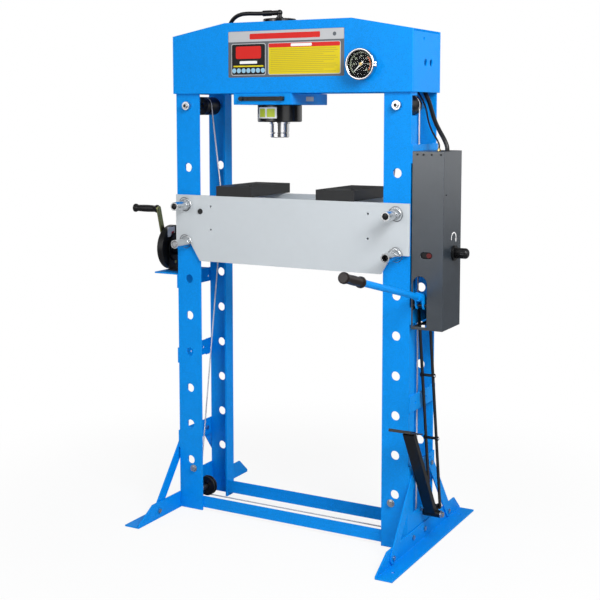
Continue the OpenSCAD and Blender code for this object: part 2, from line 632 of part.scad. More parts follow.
// cover over the gears: a dish that opens toward the winch
module winch_cover() color([0.05, 0.05, 0.06]) difference() {
  rx(0, wz, cov0, wx0, cover_d);
  rx(0, wz, cov0 + cover_t, wx0 - side_t, cover_d - 2 * cover_t);
  rx(0, wz, wx0 - side_t - 1, wx0 + 1, drum_axle_d + 1);
  rx(pinion_y, pinion_z, cov0 - 1, cov0 + cover_t + 1, pinion_d + 3);
  rx(pinion_y, pinion_z, wx0 - side_t - 1, wx0 + 1, pinion_d + 3);
}
module winch_drum() color([0.62, 0.64, 0.66]) {
  rx(0, wz, cov0 + 6, wx1 + 5, drum_axle_d);
  rx(0, wz, wx0 + side_t + 2, wx1 - side_t - 2, drum_d);
  rx(0, wz, wx0 + side_t + 2, wx0 + side_t + 5, drum_d + 44);
  rx(0, wz, wx1 - side_t - 5, wx1 - side_t - 2, drum_d + 44);
  rx(0, wz, cov0 + 8, cov0 + 18, 2 * gear_r - 0.6);
}
module crank() color([0.45, 0.49, 0.33]) {
  rx(pinion_y, pinion_z, cov0 - 4, wx0 + side_t + 0.3, pinion_d);
  rx(pinion_y, pinion_z, cov0 + 7, cov0 + 19, 2 * gear_r / pin_ratio - 0.6);
  translate([arm_x, pinion_y, pinion_z]) rotate([crank_a, 0, 0]) {
    translate([0, -12, 0]) cube([arm_t, 24, crank_l]);
    rotate([0, 90, 0]) cylinder(d = 30, h = arm_t);
    translate([0, 0, crank_l]) rotate([0, 90, 0]) cylinder(d = 24, h = arm_t);
  }
  rx(pinion_y, pinion_z, arm_x - 9, arm_x, 20);
  rx(crank_y, crank_z, arm_x - grip_l - 2, arm_x, grip_pin_d);
  rx(crank_y, crank_z, arm_x - grip_l - 6, arm_x - grip_l - 2, grip_pin_d + 6);
}
module crank_grip() color([0.04, 0.04, 0.045]) difference() {
  g0 = arm_x - grip_l - 1.4;
  g1 = arm_x - 0.6;
  union() {
    rx(crank_y, crank_z, g0, g1, grip_d);
    rx(crank_y, crank_z, g0, g0 + 10.4, grip_d + 5);
    rx(crank_y, crank_z, g1 - 8.4, g1, grip_d + 3);
  }
  rx(crank_y, crank_z, g0 - 1, g1 + 1, grip_pin_d + 0.14);
}

// cables: both lie in planes across Y where they turn
function arc(c, z, r, a0, a1, n) = [for (i = [0 : n]) let (a = a0 + (a1 - a0) * i / n)
  [c + r * cos(a), 0, z + r * sin(a)]];
module cable_hoist() color([0.6, 0.6, 0.62]) sweep(concat(
  [[(wx0 + wx1) / 2, drum_d / 2 + cr + cable_gap, wz], [-xo - 40, 26, wz + 140], [-xo - 20, 14, wz + 320],
   [-cx - top_wrap - 7.6, 1, axle_z - 60]],
  arc(-cx, axle_z, top_wrap, 173, 10, 16),
  [[anchors[0][0] - 8, 0, bed_top + 6], [anchors[0][0], 0, anchors[0][1] + anchor_d / 2 + cable_gap]]),
  cr, 8, [0, 1, 0.03]);
module cable_level() color([0.6, 0.6, 0.62]) sweep(concat(
  [[anchors[2][0], 0, anchors[2][1] + anchor_d / 2 + cable_gap], [anchors[2][0] + 8, 0, bed_top + 6]],
  arc(cx, axle_z, top_wrap, 170, 0, 17),
  arc(cx, low_z, low_wrap, 0, -90, 9),
  arc(-cx, low_z, low_wrap, -90, -187, 10),
  [[anchors[1][0] - 6, 0, anchors[1][1] - 46], [anchors[1][0], 0, anchors[1][1] - anchor_d / 2 - cable_gap]]),
  cr, 8, [0, 1, 0]);

// hydraulic hose: case top, up into the head, across, out over the left and into the elbow
module hose_main() color([0.05, 0.05, 0.055]) sweep(concat(
  [[hose_x, hose_y, case_z1 - 14], [hose_x, hose_y, case_z1 + 6]], hose_points,
  [for (d = [17, 0]) [cyl_x - elbow_arm - ferrule_l - d, 0, elbow_z]]), hose_r, 10, [0.1, 0.2, 1]);
// thin gauge line beside it
module hose_gauge() color([0.05, 0.05, 0.055]) sweep(concat(
  [[union_x, union_y, case_z1 + 9]], line_points, [[gx, -hy + 22, gz]]), line_r, 8, [1, 0.2, 0.3]);
module hose_unions() color([0.72, 0.58, 0.3]) {
  rz(union_x, union_y, case_z1 - 10, case_z1 + 4, union_d);
  translate([union_x, union_y, case_z1]) cylinder(d = 13, h = 6, $fn = 6);
  rz(union_x, union_y, case_z1 + 5, case_z1 + 9, 9);
}

// pump case: sheet box with a lever slot, an oval window and openings for rods and knob
module pump_case() color([0.3, 0.32, 0.34]) difference() {
  front = case_y0 + wall + 1;
  bx(case_x0, case_x1, case_y0, case_y1, case_z0, case_z1);
  bx(case_x0 + wall, case_x1 - wall, case_y0 + wall, case_y1 - wall, case_z0 + wall, case_z1 - wall);
  // lever slot with a round top
  bx(slot_x0, slot_x1, case_y0 - 1, front, case_z0 + 10, slot_top_z);
  ry(slot_x0 + slot_w / 2, slot_top_z, case_y0 - 1, front, slot_w);
  // oval window
  bx(window_x, window_x + 20, case_y0 - 1, front, window_z - window_h / 2, window_z + window_h / 2);
  for (x = [window_x, window_x + 20]) ry(x, window_z, case_y0 - 1, front, window_h);
  // rods come out below
  bx(slot_x0, slot_x1 + 3, case_y0 + 10, case_y0 + 89, case_z0 - 1, case_z0 + wall + 1);
  rx(knob_y, knob_z, case_x1 - wall - 1, case_x1 + 1, shaft_d + 4);
  rz(hose_x, hose_y, case_z1 - wall - 1, case_z1 + 1, 2 * hose_r + 0.2);
  rz(union_x, union_y, case_z1 - wall - 1, case_z1 + 1, union_d + 0.1);
  // the side against the column is open low down
  bx(case_x0 - 1, case_x0 + wall + 1, case_y0 + 8, case_y1 - 8, case_z0 + 8, open_top);
  // small vent slot in the side
  bx(case_x1 - wall - 1, case_x1 + 1, case_y0 + 17, case_y0 + 29, vent_z, vent_z + 3);
}
// pump body and tank inside the case
module pump_unit() color([0.1, 0.1, 0.11]) difference() {
  bx(case_x0 + 10, case_x1 - 10, knob_y - 25, case_y1 - wall, open_top + 10, case_z1 - 51);
  rx(knob_y, knob_z, case_x1 - 30, case_x1 - 9, shaft_d + 0.14);
}
module case_trim() color([0.06, 0.06, 0.07]) {
  difference() {
    rx(knob_y, knob_z, case_x1, case_x1 + 8, knob_d + 16);
    rx(knob_y, knob_z, case_x1 - 1, case_x1 + 9, shaft_d + 4);
  }
  for (x = [18, 40, case_w - 45, case_w - 12]) ry(case_x0 + x, case_z1 - 11, case_y0 - 2, case_y0, 7);
}
module release_knob() color([0.05, 0.05, 0.06]) {
  rx(knob_y, knob_z, case_x1 - 28, case_x1 + 11, shaft_d);
  rx(knob_y, knob_z, case_x1 + 8.5, case_x1 + 50, knob_d);
  rx(knob_y, knob_z, case_x1 + 50, case_x1 + 53, knob_d - 8);
}

// bracket and pin that carry the lever, on the inside of the case front
module lever_bracket() color([0.45, 0.46, 0.48]) {
  for (x = [bracket_x, slot_x1]) yz(x, x + lug_t,
    [[case_y0 + wall, piv_z - 18], [piv_y + 8, piv_z - 12], [piv_y + 12, piv_z], [piv_y + 8, piv_z + 12],
     [case_y0 + wall, piv_z + 18]]);
  rx(piv_y, piv_z, bracket_x + lug_t, slot_x1, pin_big);
  rx(piv_y, piv_z, bracket_x, slot_x1 + lug_t, pin_small);
}
// lever: tube in a sleeve, two side plates on the pivot and the pin that works the rods
module along_lever(u0, u1, d) translate([lx, piv_y, piv_z + tube_up])
  rotate([-lever_a, 0, 0]) translate([0, -u0, 0]) rotate([90, 0, 0]) cylinder(d = d, h = u1 - u0);
module hand_lever() color([0.2, 0.6, 0.92]) {
  along_lever(-14, lever_l - 8, lever_d);
  difference() {
    along_lever(-16, 34, lever_d + 8);
    along_lever(-17, 35, lever_d - 1);
  }
  for (x = [lx - lug_x, lx + lug_x - lug_t]) difference() {
    yz(x, x + lug_t, [
      [piv_y - 12, piv_z - 4], [piv_y - 4, piv_z - 12], [piv_y + 6, piv_z - 11], [top_y + 4, top_z - 10],
      [top_y + 10, top_z], [top_y + 4, top_z + 10], [piv_y + 17, piv_z + tube_up],
      [piv_y - 16, piv_z + tube_up + 6], [piv_y - 18, piv_z + tube_up - 3]]);
    rx(piv_y, piv_z, x - 1, x + lug_t + 1, pin_big + 0.14);
  }
  rx(top_y, top_z, lx - pin_x, lx + pin_x, pin_big);
}
module lever_grip() color([0.1, 0.06, 0.05]) difference() {
  union() {
    along_lever(lever_l - 130, lever_l, lever_d + 9);
    along_lever(lever_l - 130, lever_l - 118, lever_d + 14);
    along_lever(lever_l - 14, lever_l, lever_d + 14);
  }
  along_lever(lever_l - 131, lever_l - 8, lever_d);
}

// pedal: sleeve, arm, rear lugs with a pin, and the foot plate
module foot_pedal() color([0.05, 0.05, 0.055]) {
  difference() {
    union() {
      rx(ped_y, ped_z, hub_x0, hub_x1, 26);
      translate([lx - 20, ped_y, ped_z]) rotate([pedal_a, 0, 0])
        translate([0, 4, -10]) cube([40, pedal_l - 4, 20]);
      for (x = [lx - lug_x, lx + lug_x - lug_t]) yz(x, x + lug_t, [
        [ped_y - 7, ped_z + 11], [ped_y, ped_z - 13], [rod_y + 3, rod_z - 10], [rod_y + 10, rod_z - 2],
        [rod_y + 8, rod_z + 6], [rod_y, rod_z + 10]]);
    }
    rx(ped_y, ped_z, hub_x0 - 1, hub_x1 + 1, ped_d + 0.14);
  }
  rx(rod_y, rod_z, lx - pin_x, lx + pin_x, pin_big);
  translate([lx - plate_w / 2, pedal_end[0], pedal_end[1]]) rotate([165, 0, 0]) {
    translate([0, -24, -4]) cube([plate_w, plate_l, 4]);
    translate([0, plate_l - 28, -10]) cube([plate_w, 4, 10]);
  }
}
// two flat rods with spacers; the upper eyes are bored large for the free play of the linkage
module pedal_rods() color([0.06, 0.055, 0.05]) {
  rod_a = atan2(top_z - rod_z, top_y - rod_y);
  rod_l = norm([top_z - rod_z, top_y - rod_y]);
  for (x = [lx - rod_x, lx + rod_x - lug_t]) difference() {
    translate([x, rod_y, rod_z]) rotate([rod_a, 0, 0]) {
      translate([0, 0, -8]) cube([lug_t, rod_l, 16]);
      rotate([0, 90, 0]) cylinder(d = 20, h = lug_t);
      translate([0, rod_l, 0]) rotate([0, 90, 0]) cylinder(d = 21, h = lug_t);
    }
    rx(rod_y, rod_z, x - 1, x + lug_t + 1, pin_big + 0.14);
    rx(top_y, top_z, x - 1, x + lug_t + 1, pin_big + 1.4);
  }
  for (u = [0.345, 0.655]) translate([lx, rod_y, rod_z]) rotate([rod_a, 0, 0]) translate([0, u * rod_l, 0]) {
    inner = rod_x - lug_t;
    translate([-inner, 0, 0]) rotate([0, 90, 0]) cylinder(d = 10, h = 2 * inner);
    for (x = [-rod_x - lug_t, rod_x]) translate([x, 0, 0]) rotate([0, 90, 0])
      cylinder(d = 15, h = lug_t, $fn = 6);
  }
}

upright_fl();
upright_fr();
upright_rl();
upright_rr();
tie_bars();
crossbars();
foot_left();
foot_right();
braces();
frame_bolts();
pulley_straps();
pulley_axles();
head_front();
head_rear();
head_ends();
head_rails();
gauge_case();
gauge_dial();
gauge_glass();
gauge_needle();
carriage();
carriage_bar();
press_cylinder();
gland_ring();
hose_elbow();
ram();
ram_saddle();
bed_front();
bed_rear();
bed_spacers();
press_block_left();
press_block_right();
pin_upper_left();
pin_upper_right();
pin_lower_left();
pin_lower_right();
roller_top_left();
roller_top_right();
pulley_low_left();
pulley_low_right();
winch_shelf();
winch_frame();
winch_cover();
winch_drum();
crank();
crank_grip();
cable_hoist();
cable_level();
hose_main();
hose_gauge();
hose_unions();
pump_case();
case_trim();
pump_unit();
release_knob();
lever_bracket();
hand_lever();
lever_grip();
foot_pedal();
pedal_rods();
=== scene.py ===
"""Dressed model of a floor-standing hydraulic press, built around its fixed frame.

Every length is in metres, in the frame's own axes: X to the right, Y to the back, Z up.
Each sub-assembly is a class that refines its frame nodes and adds the detail they lack.
"""

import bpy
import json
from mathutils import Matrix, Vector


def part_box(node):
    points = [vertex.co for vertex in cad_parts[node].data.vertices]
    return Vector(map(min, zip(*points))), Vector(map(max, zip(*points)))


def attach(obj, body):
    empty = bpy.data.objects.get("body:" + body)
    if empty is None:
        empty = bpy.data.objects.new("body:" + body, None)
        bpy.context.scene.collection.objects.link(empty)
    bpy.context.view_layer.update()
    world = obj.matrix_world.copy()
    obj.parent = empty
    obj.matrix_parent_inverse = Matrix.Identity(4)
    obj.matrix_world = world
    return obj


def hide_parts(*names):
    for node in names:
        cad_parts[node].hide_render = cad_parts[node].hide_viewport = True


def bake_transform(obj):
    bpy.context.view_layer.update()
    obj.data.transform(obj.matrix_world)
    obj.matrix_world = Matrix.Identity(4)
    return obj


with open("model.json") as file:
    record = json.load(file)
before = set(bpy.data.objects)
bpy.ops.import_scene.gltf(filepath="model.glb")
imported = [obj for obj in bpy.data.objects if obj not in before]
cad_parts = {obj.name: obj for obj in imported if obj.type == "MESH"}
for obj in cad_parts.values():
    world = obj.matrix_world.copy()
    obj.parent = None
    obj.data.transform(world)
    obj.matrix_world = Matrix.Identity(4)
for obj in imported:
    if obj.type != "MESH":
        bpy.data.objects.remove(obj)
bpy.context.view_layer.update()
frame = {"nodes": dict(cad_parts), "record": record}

import json
import logging
import math
from dataclasses import dataclass
from enum import Enum
from typing import ClassVar, Iterable, Sequence

import bmesh
import bpy
import numpy as np
from mathutils import Vector

LOG = logging.getLogger("press")
MM = 0.001
SUNK = 0.0002  # how deep a flat field reaches into what carries it
Array = np.ndarray
Color = tuple[float, float, float]
Profile = Sequence[tuple[float, float]]
NODE_BODY: dict[str, str] = {
    node: body for body, nodes in frame["record"]["behaviour"]["bodies"].items() for node in nodes
}


# ---------------------------------------------------------------- surfaces


class Axis(Enum):
    """An axis of the frame, given last, after the two directions that make it a right-handed set."""

    X = ((0, 1, 0), (0, 0, 1), (1, 0, 0))
    Y = ((0, 0, 1), (1, 0, 0), (0, 1, 0))
    Z = ((1, 0, 0), (0, 1, 0), (0, 0, 1))

    @property
    def basis(self) -> Array:
        """The two directions across the axis and the axis itself, one a row."""
        return np.array(self.value, float)


@dataclass
class Surface:
    """Points, faces and optional texture coordinates of one mesh."""

    sharp: ClassVar[float] = math.radians(38)  # edges that turn more are shaded sharp
    points: Array
    faces: list[tuple[int, ...]]
    uv: Array | None = None

    @classmethod
    def joined(cls, parts: Sequence["Surface"]) -> "Surface":
        """Many surfaces as one, without texture coordinates.

        Args:
            parts: the surfaces.

        Returns:
            One surface, whose faces count on through the points of all parts.
        """
        starts = np.cumsum([0, *(len(part.points) for part in parts)]).tolist()
        faces = [tuple(i + start for i in face) for part, start in zip(parts, starts) for face in part.faces]
        return cls(np.vstack([part.points for part in parts]), faces)

    def mesh(self, name: str, merge: float = 0.0) -> bpy.types.Mesh:
        """Makes the Blender mesh.

        Args:
            name: name of the mesh.
            merge: distance below which points become one, in metres; 0 leaves them.

        Returns:
            The new mesh, smooth shaded with its sharp edges marked.
        """
        mesh = bpy.data.meshes.new(name)
        mesh.from_pydata(self.points.tolist(), [], self.faces)
        if self.uv is not None:
            layer = mesh.uv_layers.new(name="run")
            corners = np.empty(len(mesh.loops), np.int32)
            mesh.loops.foreach_get("vertex_index", corners)
            layer.data.foreach_set("uv", self.uv[corners].astype(np.float32).ravel())
        if merge > 0:
            work = bmesh.new()
            work.from_mesh(mesh)
            bmesh.ops.remove_doubles(work, verts=work.verts, dist=merge)
            work.to_mesh(mesh)
            work.free()
        mesh.shade_smooth()
        mesh.set_sharp_from_angle(angle=self.sharp)
        return mesh


def whole_turn(steps: int) -> Array:
    """Even steps of one turn, in radians, without its end."""
    return np.linspace(0, 2 * math.pi, steps, endpoint=False)


def skin(rings: Array, capped: bool = True) -> Surface:
    """A skin through a stack of rings: quads between neighbours and a flat face at each end.

    Args:
        rings: the points, by ring and by place in the ring.
        capped: whether the two ends are closed.

    Returns:
        The surface, facing outwards where each ring turns like a right-hand screw that moves ahead.
    """
    rows, columns = rings.shape[:2]
    i, j = np.meshgrid(np.arange(rows - 1), np.arange(columns), indexing="ij")
    k = (j + 1) % columns
    quads = np.stack([i * columns + j, i * columns + k, (i + 1) * columns + k, (i + 1) * columns + j], -1)
    faces = [tuple(quad) for quad in quads.reshape(-1, 4).tolist()]
    if capped:
        faces.append(tuple(range(columns))[::-1])
        faces.append(tuple(range((rows - 1) * columns, rows * columns)))
    return Surface(rings.reshape(-1, 3), faces)


def lathe(profile: Profile, origin: Sequence[float], axis: Axis, sides: int) -> Surface:
    """Turns a profile about an axis: point = origin + r (cos a, sin a) + h along the axis.

    Args:
        profile: (radius, height) pairs; a profile that ends where it starts is a closed ring.
        origin: the point of height 0 on the axis.
        axis: the axis of the turn.
        sides: number of steps round.

    Returns:
        The closed surface, with flat caps where the profile is open.
    """
    a, b, c = axis.basis
    r, h = np.array(profile, float).T[..., None, None]
    angle = whole_turn(sides)[:, None]
    rings = np.array(origin, float) + r * (np.cos(angle) * a + np.sin(angle) * b) + h * c
    return skin(rings, capped=not np.allclose(profile[0], profile[-1]))


def smooth_path(points: Array, steps: int) -> Array:
    """A smooth line through points: a cubic on each span, its tangents half the chord between neighbours.

    Args:
        points: the points in order.
        steps: number of steps on each span.

    Returns:
        The points of the line.
    """
    p = np.vstack([2 * points[0] - points[1], points, 2 * points[-1] - points[-2]])
    t = np.linspace(0, 1, steps, endpoint=False)[None, :, None]
    p0, p1, p2, p3 = (p[i : len(p) - 3 + i, None] for i in range(4))
    bend = 2 * p0 - 5 * p1 + 4 * p2 - p3
    spans = 0.5 * (2 * p1 + (p2 - p0) * t + bend * t**2 + (3 * (p1 - p2) + p3 - p0) * t**3)
    return np.vstack([spans.reshape(-1, 3), points[-1]])


def tube(
    path: Array, radius: float | Array, reference: Sequence[float], sides: int, mapped: bool = False
) -> Surface:
    """A round tube along a path: point = p + r (cos a · u + sin a · v), u and v across the tangent.

    Args:
        path: points of the centre line.
        radius: one radius, or one for each point.
        reference: a direction that the path never runs along.
        sides: number of steps round.
        mapped: whether it gets texture coordinates, run in metres and share of a turn.

    Returns:
        The closed tube.
    """
    tangent = np.gradient(path, axis=0)
    tangent /= np.linalg.norm(tangent, axis=1, keepdims=True)
    u = np.cross(np.array(reference, float), tangent)
    u /= np.linalg.norm(u, axis=1, keepdims=True)
    v = np.cross(tangent, u)
    angle = whole_turn(sides)
    r = np.broadcast_to(np.asarray(radius, float).reshape(-1, 1, 1), (len(path), 1, 1))
    ring = np.cos(angle)[None, :, None] * u[:, None] + np.sin(angle)[None, :, None] * v[:, None]
    surface = skin(path[:, None] + r * ring)
    if mapped:
        run = np.concatenate([[0], np.cumsum(np.linalg.norm(np.diff(path, axis=0), axis=1))])
        share = angle[None] / (2 * math.pi)
        surface.uv = np.stack(np.broadcast_arrays(run[:, None], share), -1).reshape(-1, 2)
    return surface


def slab(outline: Array, low: float, high: float, axis: Axis) -> Surface:
    """A flat plate: an outline carried along an axis.

    Args:
        outline: points in the plane across the axis, counter-clockwise seen from its far end.
        low: where the plate starts on the axis.
        high: where it ends.
        axis: the axis.

    Returns:
        The closed plate.
    """
    a, b, c = axis.basis
    flat = outline[:, :1] * a + outline[:, 1:] * b
    return skin(np.stack([flat + low * c, flat + high * c]))


def front_plate(outline: Array, front: float, back: float) -> Surface:
    """A plate that faces -Y, its outline given as (x, z) counter-clockwise seen from the front."""
    return slab(outline[::-1, ::-1], front, back, Axis.Y)


def rectangle(a0: float, a1: float, b0: float, b1: float) -> Array:
    """A rectangle as an outline, counter-clockwise."""
    return np.array([[a0, b0], [a1, b0], [a1, b1], [a0, b1]])


def disc(a: float, b: float, r: float, steps: int = 24) -> Array:
    """A circle as an outline, counter-clockwise."""
    turn = whole_turn(steps)
    return np.stack([a + r * np.cos(turn), b + r * np.sin(turn)], -1)


def rounded(a0: float, a1: float, b0: float, b1: float, r: float, steps: int = 5) -> Array:
    """A rectangle with round corners, counter-clockwise: four quarter circles joined by straight sides.

    Args:
        a0: its left side.
        a1: its right side.
        b0: its lower side.
        b1: its upper side.
        r: radius of the corners.
        steps: points on each corner.

    Returns:
        The outline.
    """
    turn = np.linspace(0, math.pi / 2, steps) + np.arange(4)[:, None] * math.pi / 2
    centre_a = np.array([a1 - r, a0 + r, a0 + r, a1 - r])[:, None]
    centre_b = np.array([b1 - r, b1 - r, b0 + r, b0 + r])[:, None]
    return np.stack([centre_a + r * np.cos(turn), centre_b + r * np.sin(turn)], -1).reshape(-1, 2)


def bead(start: Sequence[float], end: Sequence[float], radius: float, swell: float) -> Surface:
    """A weld bead: a straight tube, its radius times 1 + swell |sin| of the run and small at both ends.

    Args:
        start: one end.
        end: the other end.
        radius: its least radius.
        swell: how much the ripples add, as a share.

    Returns:
        The bead.
    """
    step, ripple_length, end_share = 0.0022, 0.0055, 0.4
    start, end = np.array(start, float), np.array(end, float)
    length = np.linalg.norm(end - start)
    share = np.linspace(0, 1, max(6, int(length / step)))
    radii = radius * (1 + swell * np.abs(np.sin(share * length / ripple_length * math.pi)))
    radii[[0, -1]] *= end_share
    reference = np.eye(3)[int(np.argmin(np.abs(end - start)))]
    return tube(start + share[:, None] * (end - start), radii, reference, 8)


# ---------------------------------------------------------------- shader graphs


class Signal:
    """One output in a node tree; sums, differences, products and quotients of it are Math nodes."""

    def __init__(self, graph: "Graph", socket: bpy.types.NodeSocket) -> None:
        """Keeps the graph and the socket."""
        self.graph = graph
        self.socket = socket

    def __add__(self, other: "Signal | float") -> "Signal":
        """The sum."""
        return self.graph.math("ADD", self, other)

    def __sub__(self, other: "Signal | float") -> "Signal":
        """The difference."""
        return self.graph.math("SUBTRACT", self, other)

    def __rsub__(self, other: float) -> "Signal":
        """What is left of a number."""
        return self.graph.math("SUBTRACT", other, self)

    def __mul__(self, other: "Signal | float") -> "Signal":
        """The product."""
        return self.graph.math("MULTIPLY", self, other)

    def __truediv__(self, other: "Signal | float") -> "Signal":
        """The quotient."""
        return self.graph.math("DIVIDE", self, other)

    __radd__ = __add__
    __rmul__ = __mul__


class Placed:
    """A node in a graph; indexing it by an output's name or place gives that output as a signal."""

    def __init__(self, graph: "Graph", node: bpy.types.Node) -> None:
        """Keeps the graph and the node."""
        self.graph = graph
        self.node = node

    def __getitem__(self, output: str | int) -> Signal:
        """One output of the node."""
        return Signal(self.graph, self.node.outputs[output])

    def feed(self, **inputs: object) -> None:
        """Sets inputs of the node.

        Args:
            inputs: a signal to join or a plain value for each input: its name, with _ for a space, or in0
                for the first, in1 for the second and so on.
        """
        for key, value in inputs.items():
            by_place = key.startswith("in") and key[2:].isdigit()
            socket = self.node.inputs[int(key[2:]) if by_place else key.replace("_", " ")]
            if isinstance(value, Signal):
                self.graph.tree.links.new(value.socket, socket)
            else:
                socket.default_value = value


class Graph:
    """A short way to add and join nodes in one tree."""

    def __init__(self, tree: bpy.types.NodeTree) -> None:
        """Keeps the tree."""
        self.tree = tree

    @classmethod
    def inside(cls, owner: bpy.types.Material | bpy.types.World) -> "Graph":
        """Empties the node tree of a material or a world.

        Args:
            owner: the material or world.

        Returns:
            Its graph.
        """
        owner.use_nodes = True
        owner.node_tree.nodes.clear()
        return cls(owner.node_tree)

    def add(self, kind: str, settings: dict | None = None, **inputs: object) -> Placed:
        """Adds a node.

        Args:
            kind: the node's type, without ShaderNode in front of a shader node's.
            settings: attributes of the node.
            inputs: values or signals for its inputs, named as in Placed.feed.

        Returns:
            The new node.
        """
        node = self.tree.nodes.new(kind if kind.startswith("NodeGroup") else "ShaderNode" + kind)
        for key, value in (settings or {}).items():
            setattr(node, key, value)
        placed = Placed(self, node)
        placed.feed(**inputs)
        return placed

    def math(self, operation: str, *values: Signal | float) -> Signal:
        """The result of a Math node."""
        return self.add("Math", {"operation": operation}, **{f"in{i}": v for i, v in enumerate(values)})[0]

    def ramp(self, value: Signal, low: float, high: float) -> Signal:
        """Maps low..high to 0..1, smoothly and held at both ends."""
        smooth = {"interpolation_type": "SMOOTHSTEP"}
        return self.add("MapRange", smooth, Value=value, From_Min=low, From_Max=high)[0]

    def blend(self, share: Signal, first: object, second: object) -> Signal:
        """Mixes two colours, with the share of the second."""
        return self.add("Mix", {"data_type": "RGBA"}, in0=share, in6=first, in7=second)[2]

    def noise(self, where: Signal, scale: Signal | float, detail: float, roughness: float = 0.5) -> Signal:
        """Cloudy noise from 0 to 1 at a place."""
        return self.add("TexNoise", Vector=where, Scale=scale, Detail=detail, Roughness=roughness)["Fac"]


class Effect:
    """The shader node groups that more than one finish places, each with its own values."""

    built: ClassVar[dict[str, bpy.types.NodeTree]] = {}

    @classmethod
    def place(cls, graph: Graph, name: str, **inputs: object) -> Placed:
        """Puts a group into a material, building it the first time.

        Args:
            graph: the material's graph.
            name: the group's name, which is also the name of the method that builds it.
            inputs: values or signals for its inputs.

        Returns:
            The placed group.
        """
        if name not in cls.built:
            getattr(cls, name)()
        return graph.add("Group", {"node_tree": cls.built[name]}, **inputs)

    @classmethod
    def start(
        cls, name: str, inputs: dict[str, float | tuple], outputs: Sequence[str]
    ) -> tuple[Graph, Placed]:
        """Makes a group with its named sockets.

        Args:
            name: the group's name.
            inputs: each input's name and starting value; three numbers make a vector and four a colour.
            outputs: the outputs' names; the one called Color is a colour and the others are numbers.

        Returns:
            The graph inside the group and the node that holds the group's inputs.
        """
        tree = bpy.data.node_groups.new(name, "ShaderNodeTree")
        kinds = {0: "NodeSocketFloat", 3: "NodeSocketVector", 4: "NodeSocketColor"}
        for label, value in inputs.items():
            kind = kinds[len(value) if isinstance(value, tuple) else 0]
            tree.interface.new_socket(name=label, in_out="INPUT", socket_type=kind).default_value = value
        for label in outputs:
            kind = kinds[4 if label == "Color" else 0]
            tree.interface.new_socket(name=label, in_out="OUTPUT", socket_type=kind)
        cls.built[name] = tree
        graph = Graph(tree)
        return graph, graph.add("NodeGroupInput")

    @classmethod
    def coat_grain(cls) -> None:
        """Sprayed coat: mottle and flecks in the colour, orange peel in the height, uneven sheen."""
        g, given = cls.start(
            "coat_grain",
            {
                "Color": (0.5, 0.5, 0.5, 1.0), "Mottle": 0.05, "Speckle": 0.0,
                "Peel Scale": 700.0, "Sheen": 0.4, "Sheen Spread": 0.06,
            },
            ("Color", "Roughness", "Height"),
        )
        where = g.add("TexCoord")["Object"]
        peel = g.noise(where, given["Peel Scale"], detail=2.0)
        broad = g.noise(where, scale=5.0, detail=5.0, roughness=0.6)
        small = g.noise(where, scale=38.0, detail=3.0)
        mottle = 1.3 * broad + 0.7 * small - 1.0
        value = 1.0 + 4.0 * (mottle * given["Mottle"]) + (peel - 0.5) * given["Speckle"]
        tone = g.add("HueSaturation", Color=given["Color"], Value=value)["Color"]
        rough = given["Sheen"] + mottle * given["Sheen Spread"]
        g.add("NodeGroupOutput", Color=tone, Roughness=rough, Height=peel)

    @classmethod
    def settled_dust(cls) -> None:
        """Thin dust on faces that look up: the face's slope times a broken cloud."""
        g, given = cls.start(
            "settled_dust",
            {"Color": (0.5, 0.5, 0.5, 1.0), "Dust": (0.55, 0.54, 0.52, 1.0), "Amount": 0.15},
            ("Color",),
        )
        cloud = g.noise(g.add("TexCoord")["Object"], scale=22.0, detail=6.0, roughness=0.7)
        up = g.add("SeparateXYZ", Vector=g.add("NewGeometry")["Normal"])["Z"]
        mask = g.ramp(up, low=0.55, high=1.0) * (g.ramp(cloud, low=0.35, high=0.75) * given["Amount"])
        g.add("NodeGroupOutput", Color=g.blend(mask, given["Color"], given["Dust"]))

    @classmethod
    def brush_marks(cls) -> None:
        """Fine marks left by rolling or turning: noise stretched along one direction."""
        g, given = cls.start(
            "brush_marks",
            {"Stretch": (1.0, 1.0, 1.0), "Sheen": 0.3, "Sheen Spread": 0.15, "Fine Scale": 400.0},
            ("Roughness", "Height", "Mask"),
        )
        where = g.add("TexCoord")["Object"]
        stretched = g.add("VectorMath", {"operation": "MULTIPLY"}, in0=where, in1=given["Stretch"])[0]
        fine = g.noise(stretched, given["Fine Scale"], detail=4.0, roughness=0.65)
        mixed = 0.7 * fine + 0.3 * g.noise(where, scale=30.0, detail=3.0)
        rough = given["Sheen"] + (mixed - 0.5) * (3.0 * given["Sheen Spread"])
        g.add("NodeGroupOutput", Roughness=rough, Height=fine, Mask=mixed)

    @classmethod
    def rope_lay(cls) -> None:
        """Wound strands on a tube: a wave along the run plus the share of a turn."""
        g, given = cls.start("rope_lay", {"Pitch": 0.02, "Strands": 6.0}, ("Height", "Groove"))
        at = g.add("SeparateXYZ", Vector=g.add("UVMap", {"uv_map": "run"})[0])
        turns = at["X"] / given["Pitch"] + at["Y"]
        wave = g.math("ABSOLUTE", g.math("SINE", turns * given["Strands"] * math.pi))
        # Groove is the mask of the painted shade between the strands
        g.add("NodeGroupOutput", Height=wave, Groove=g.ramp(wave, low=0.45, high=0.0))


# ---------------------------------------------------------------- finishes


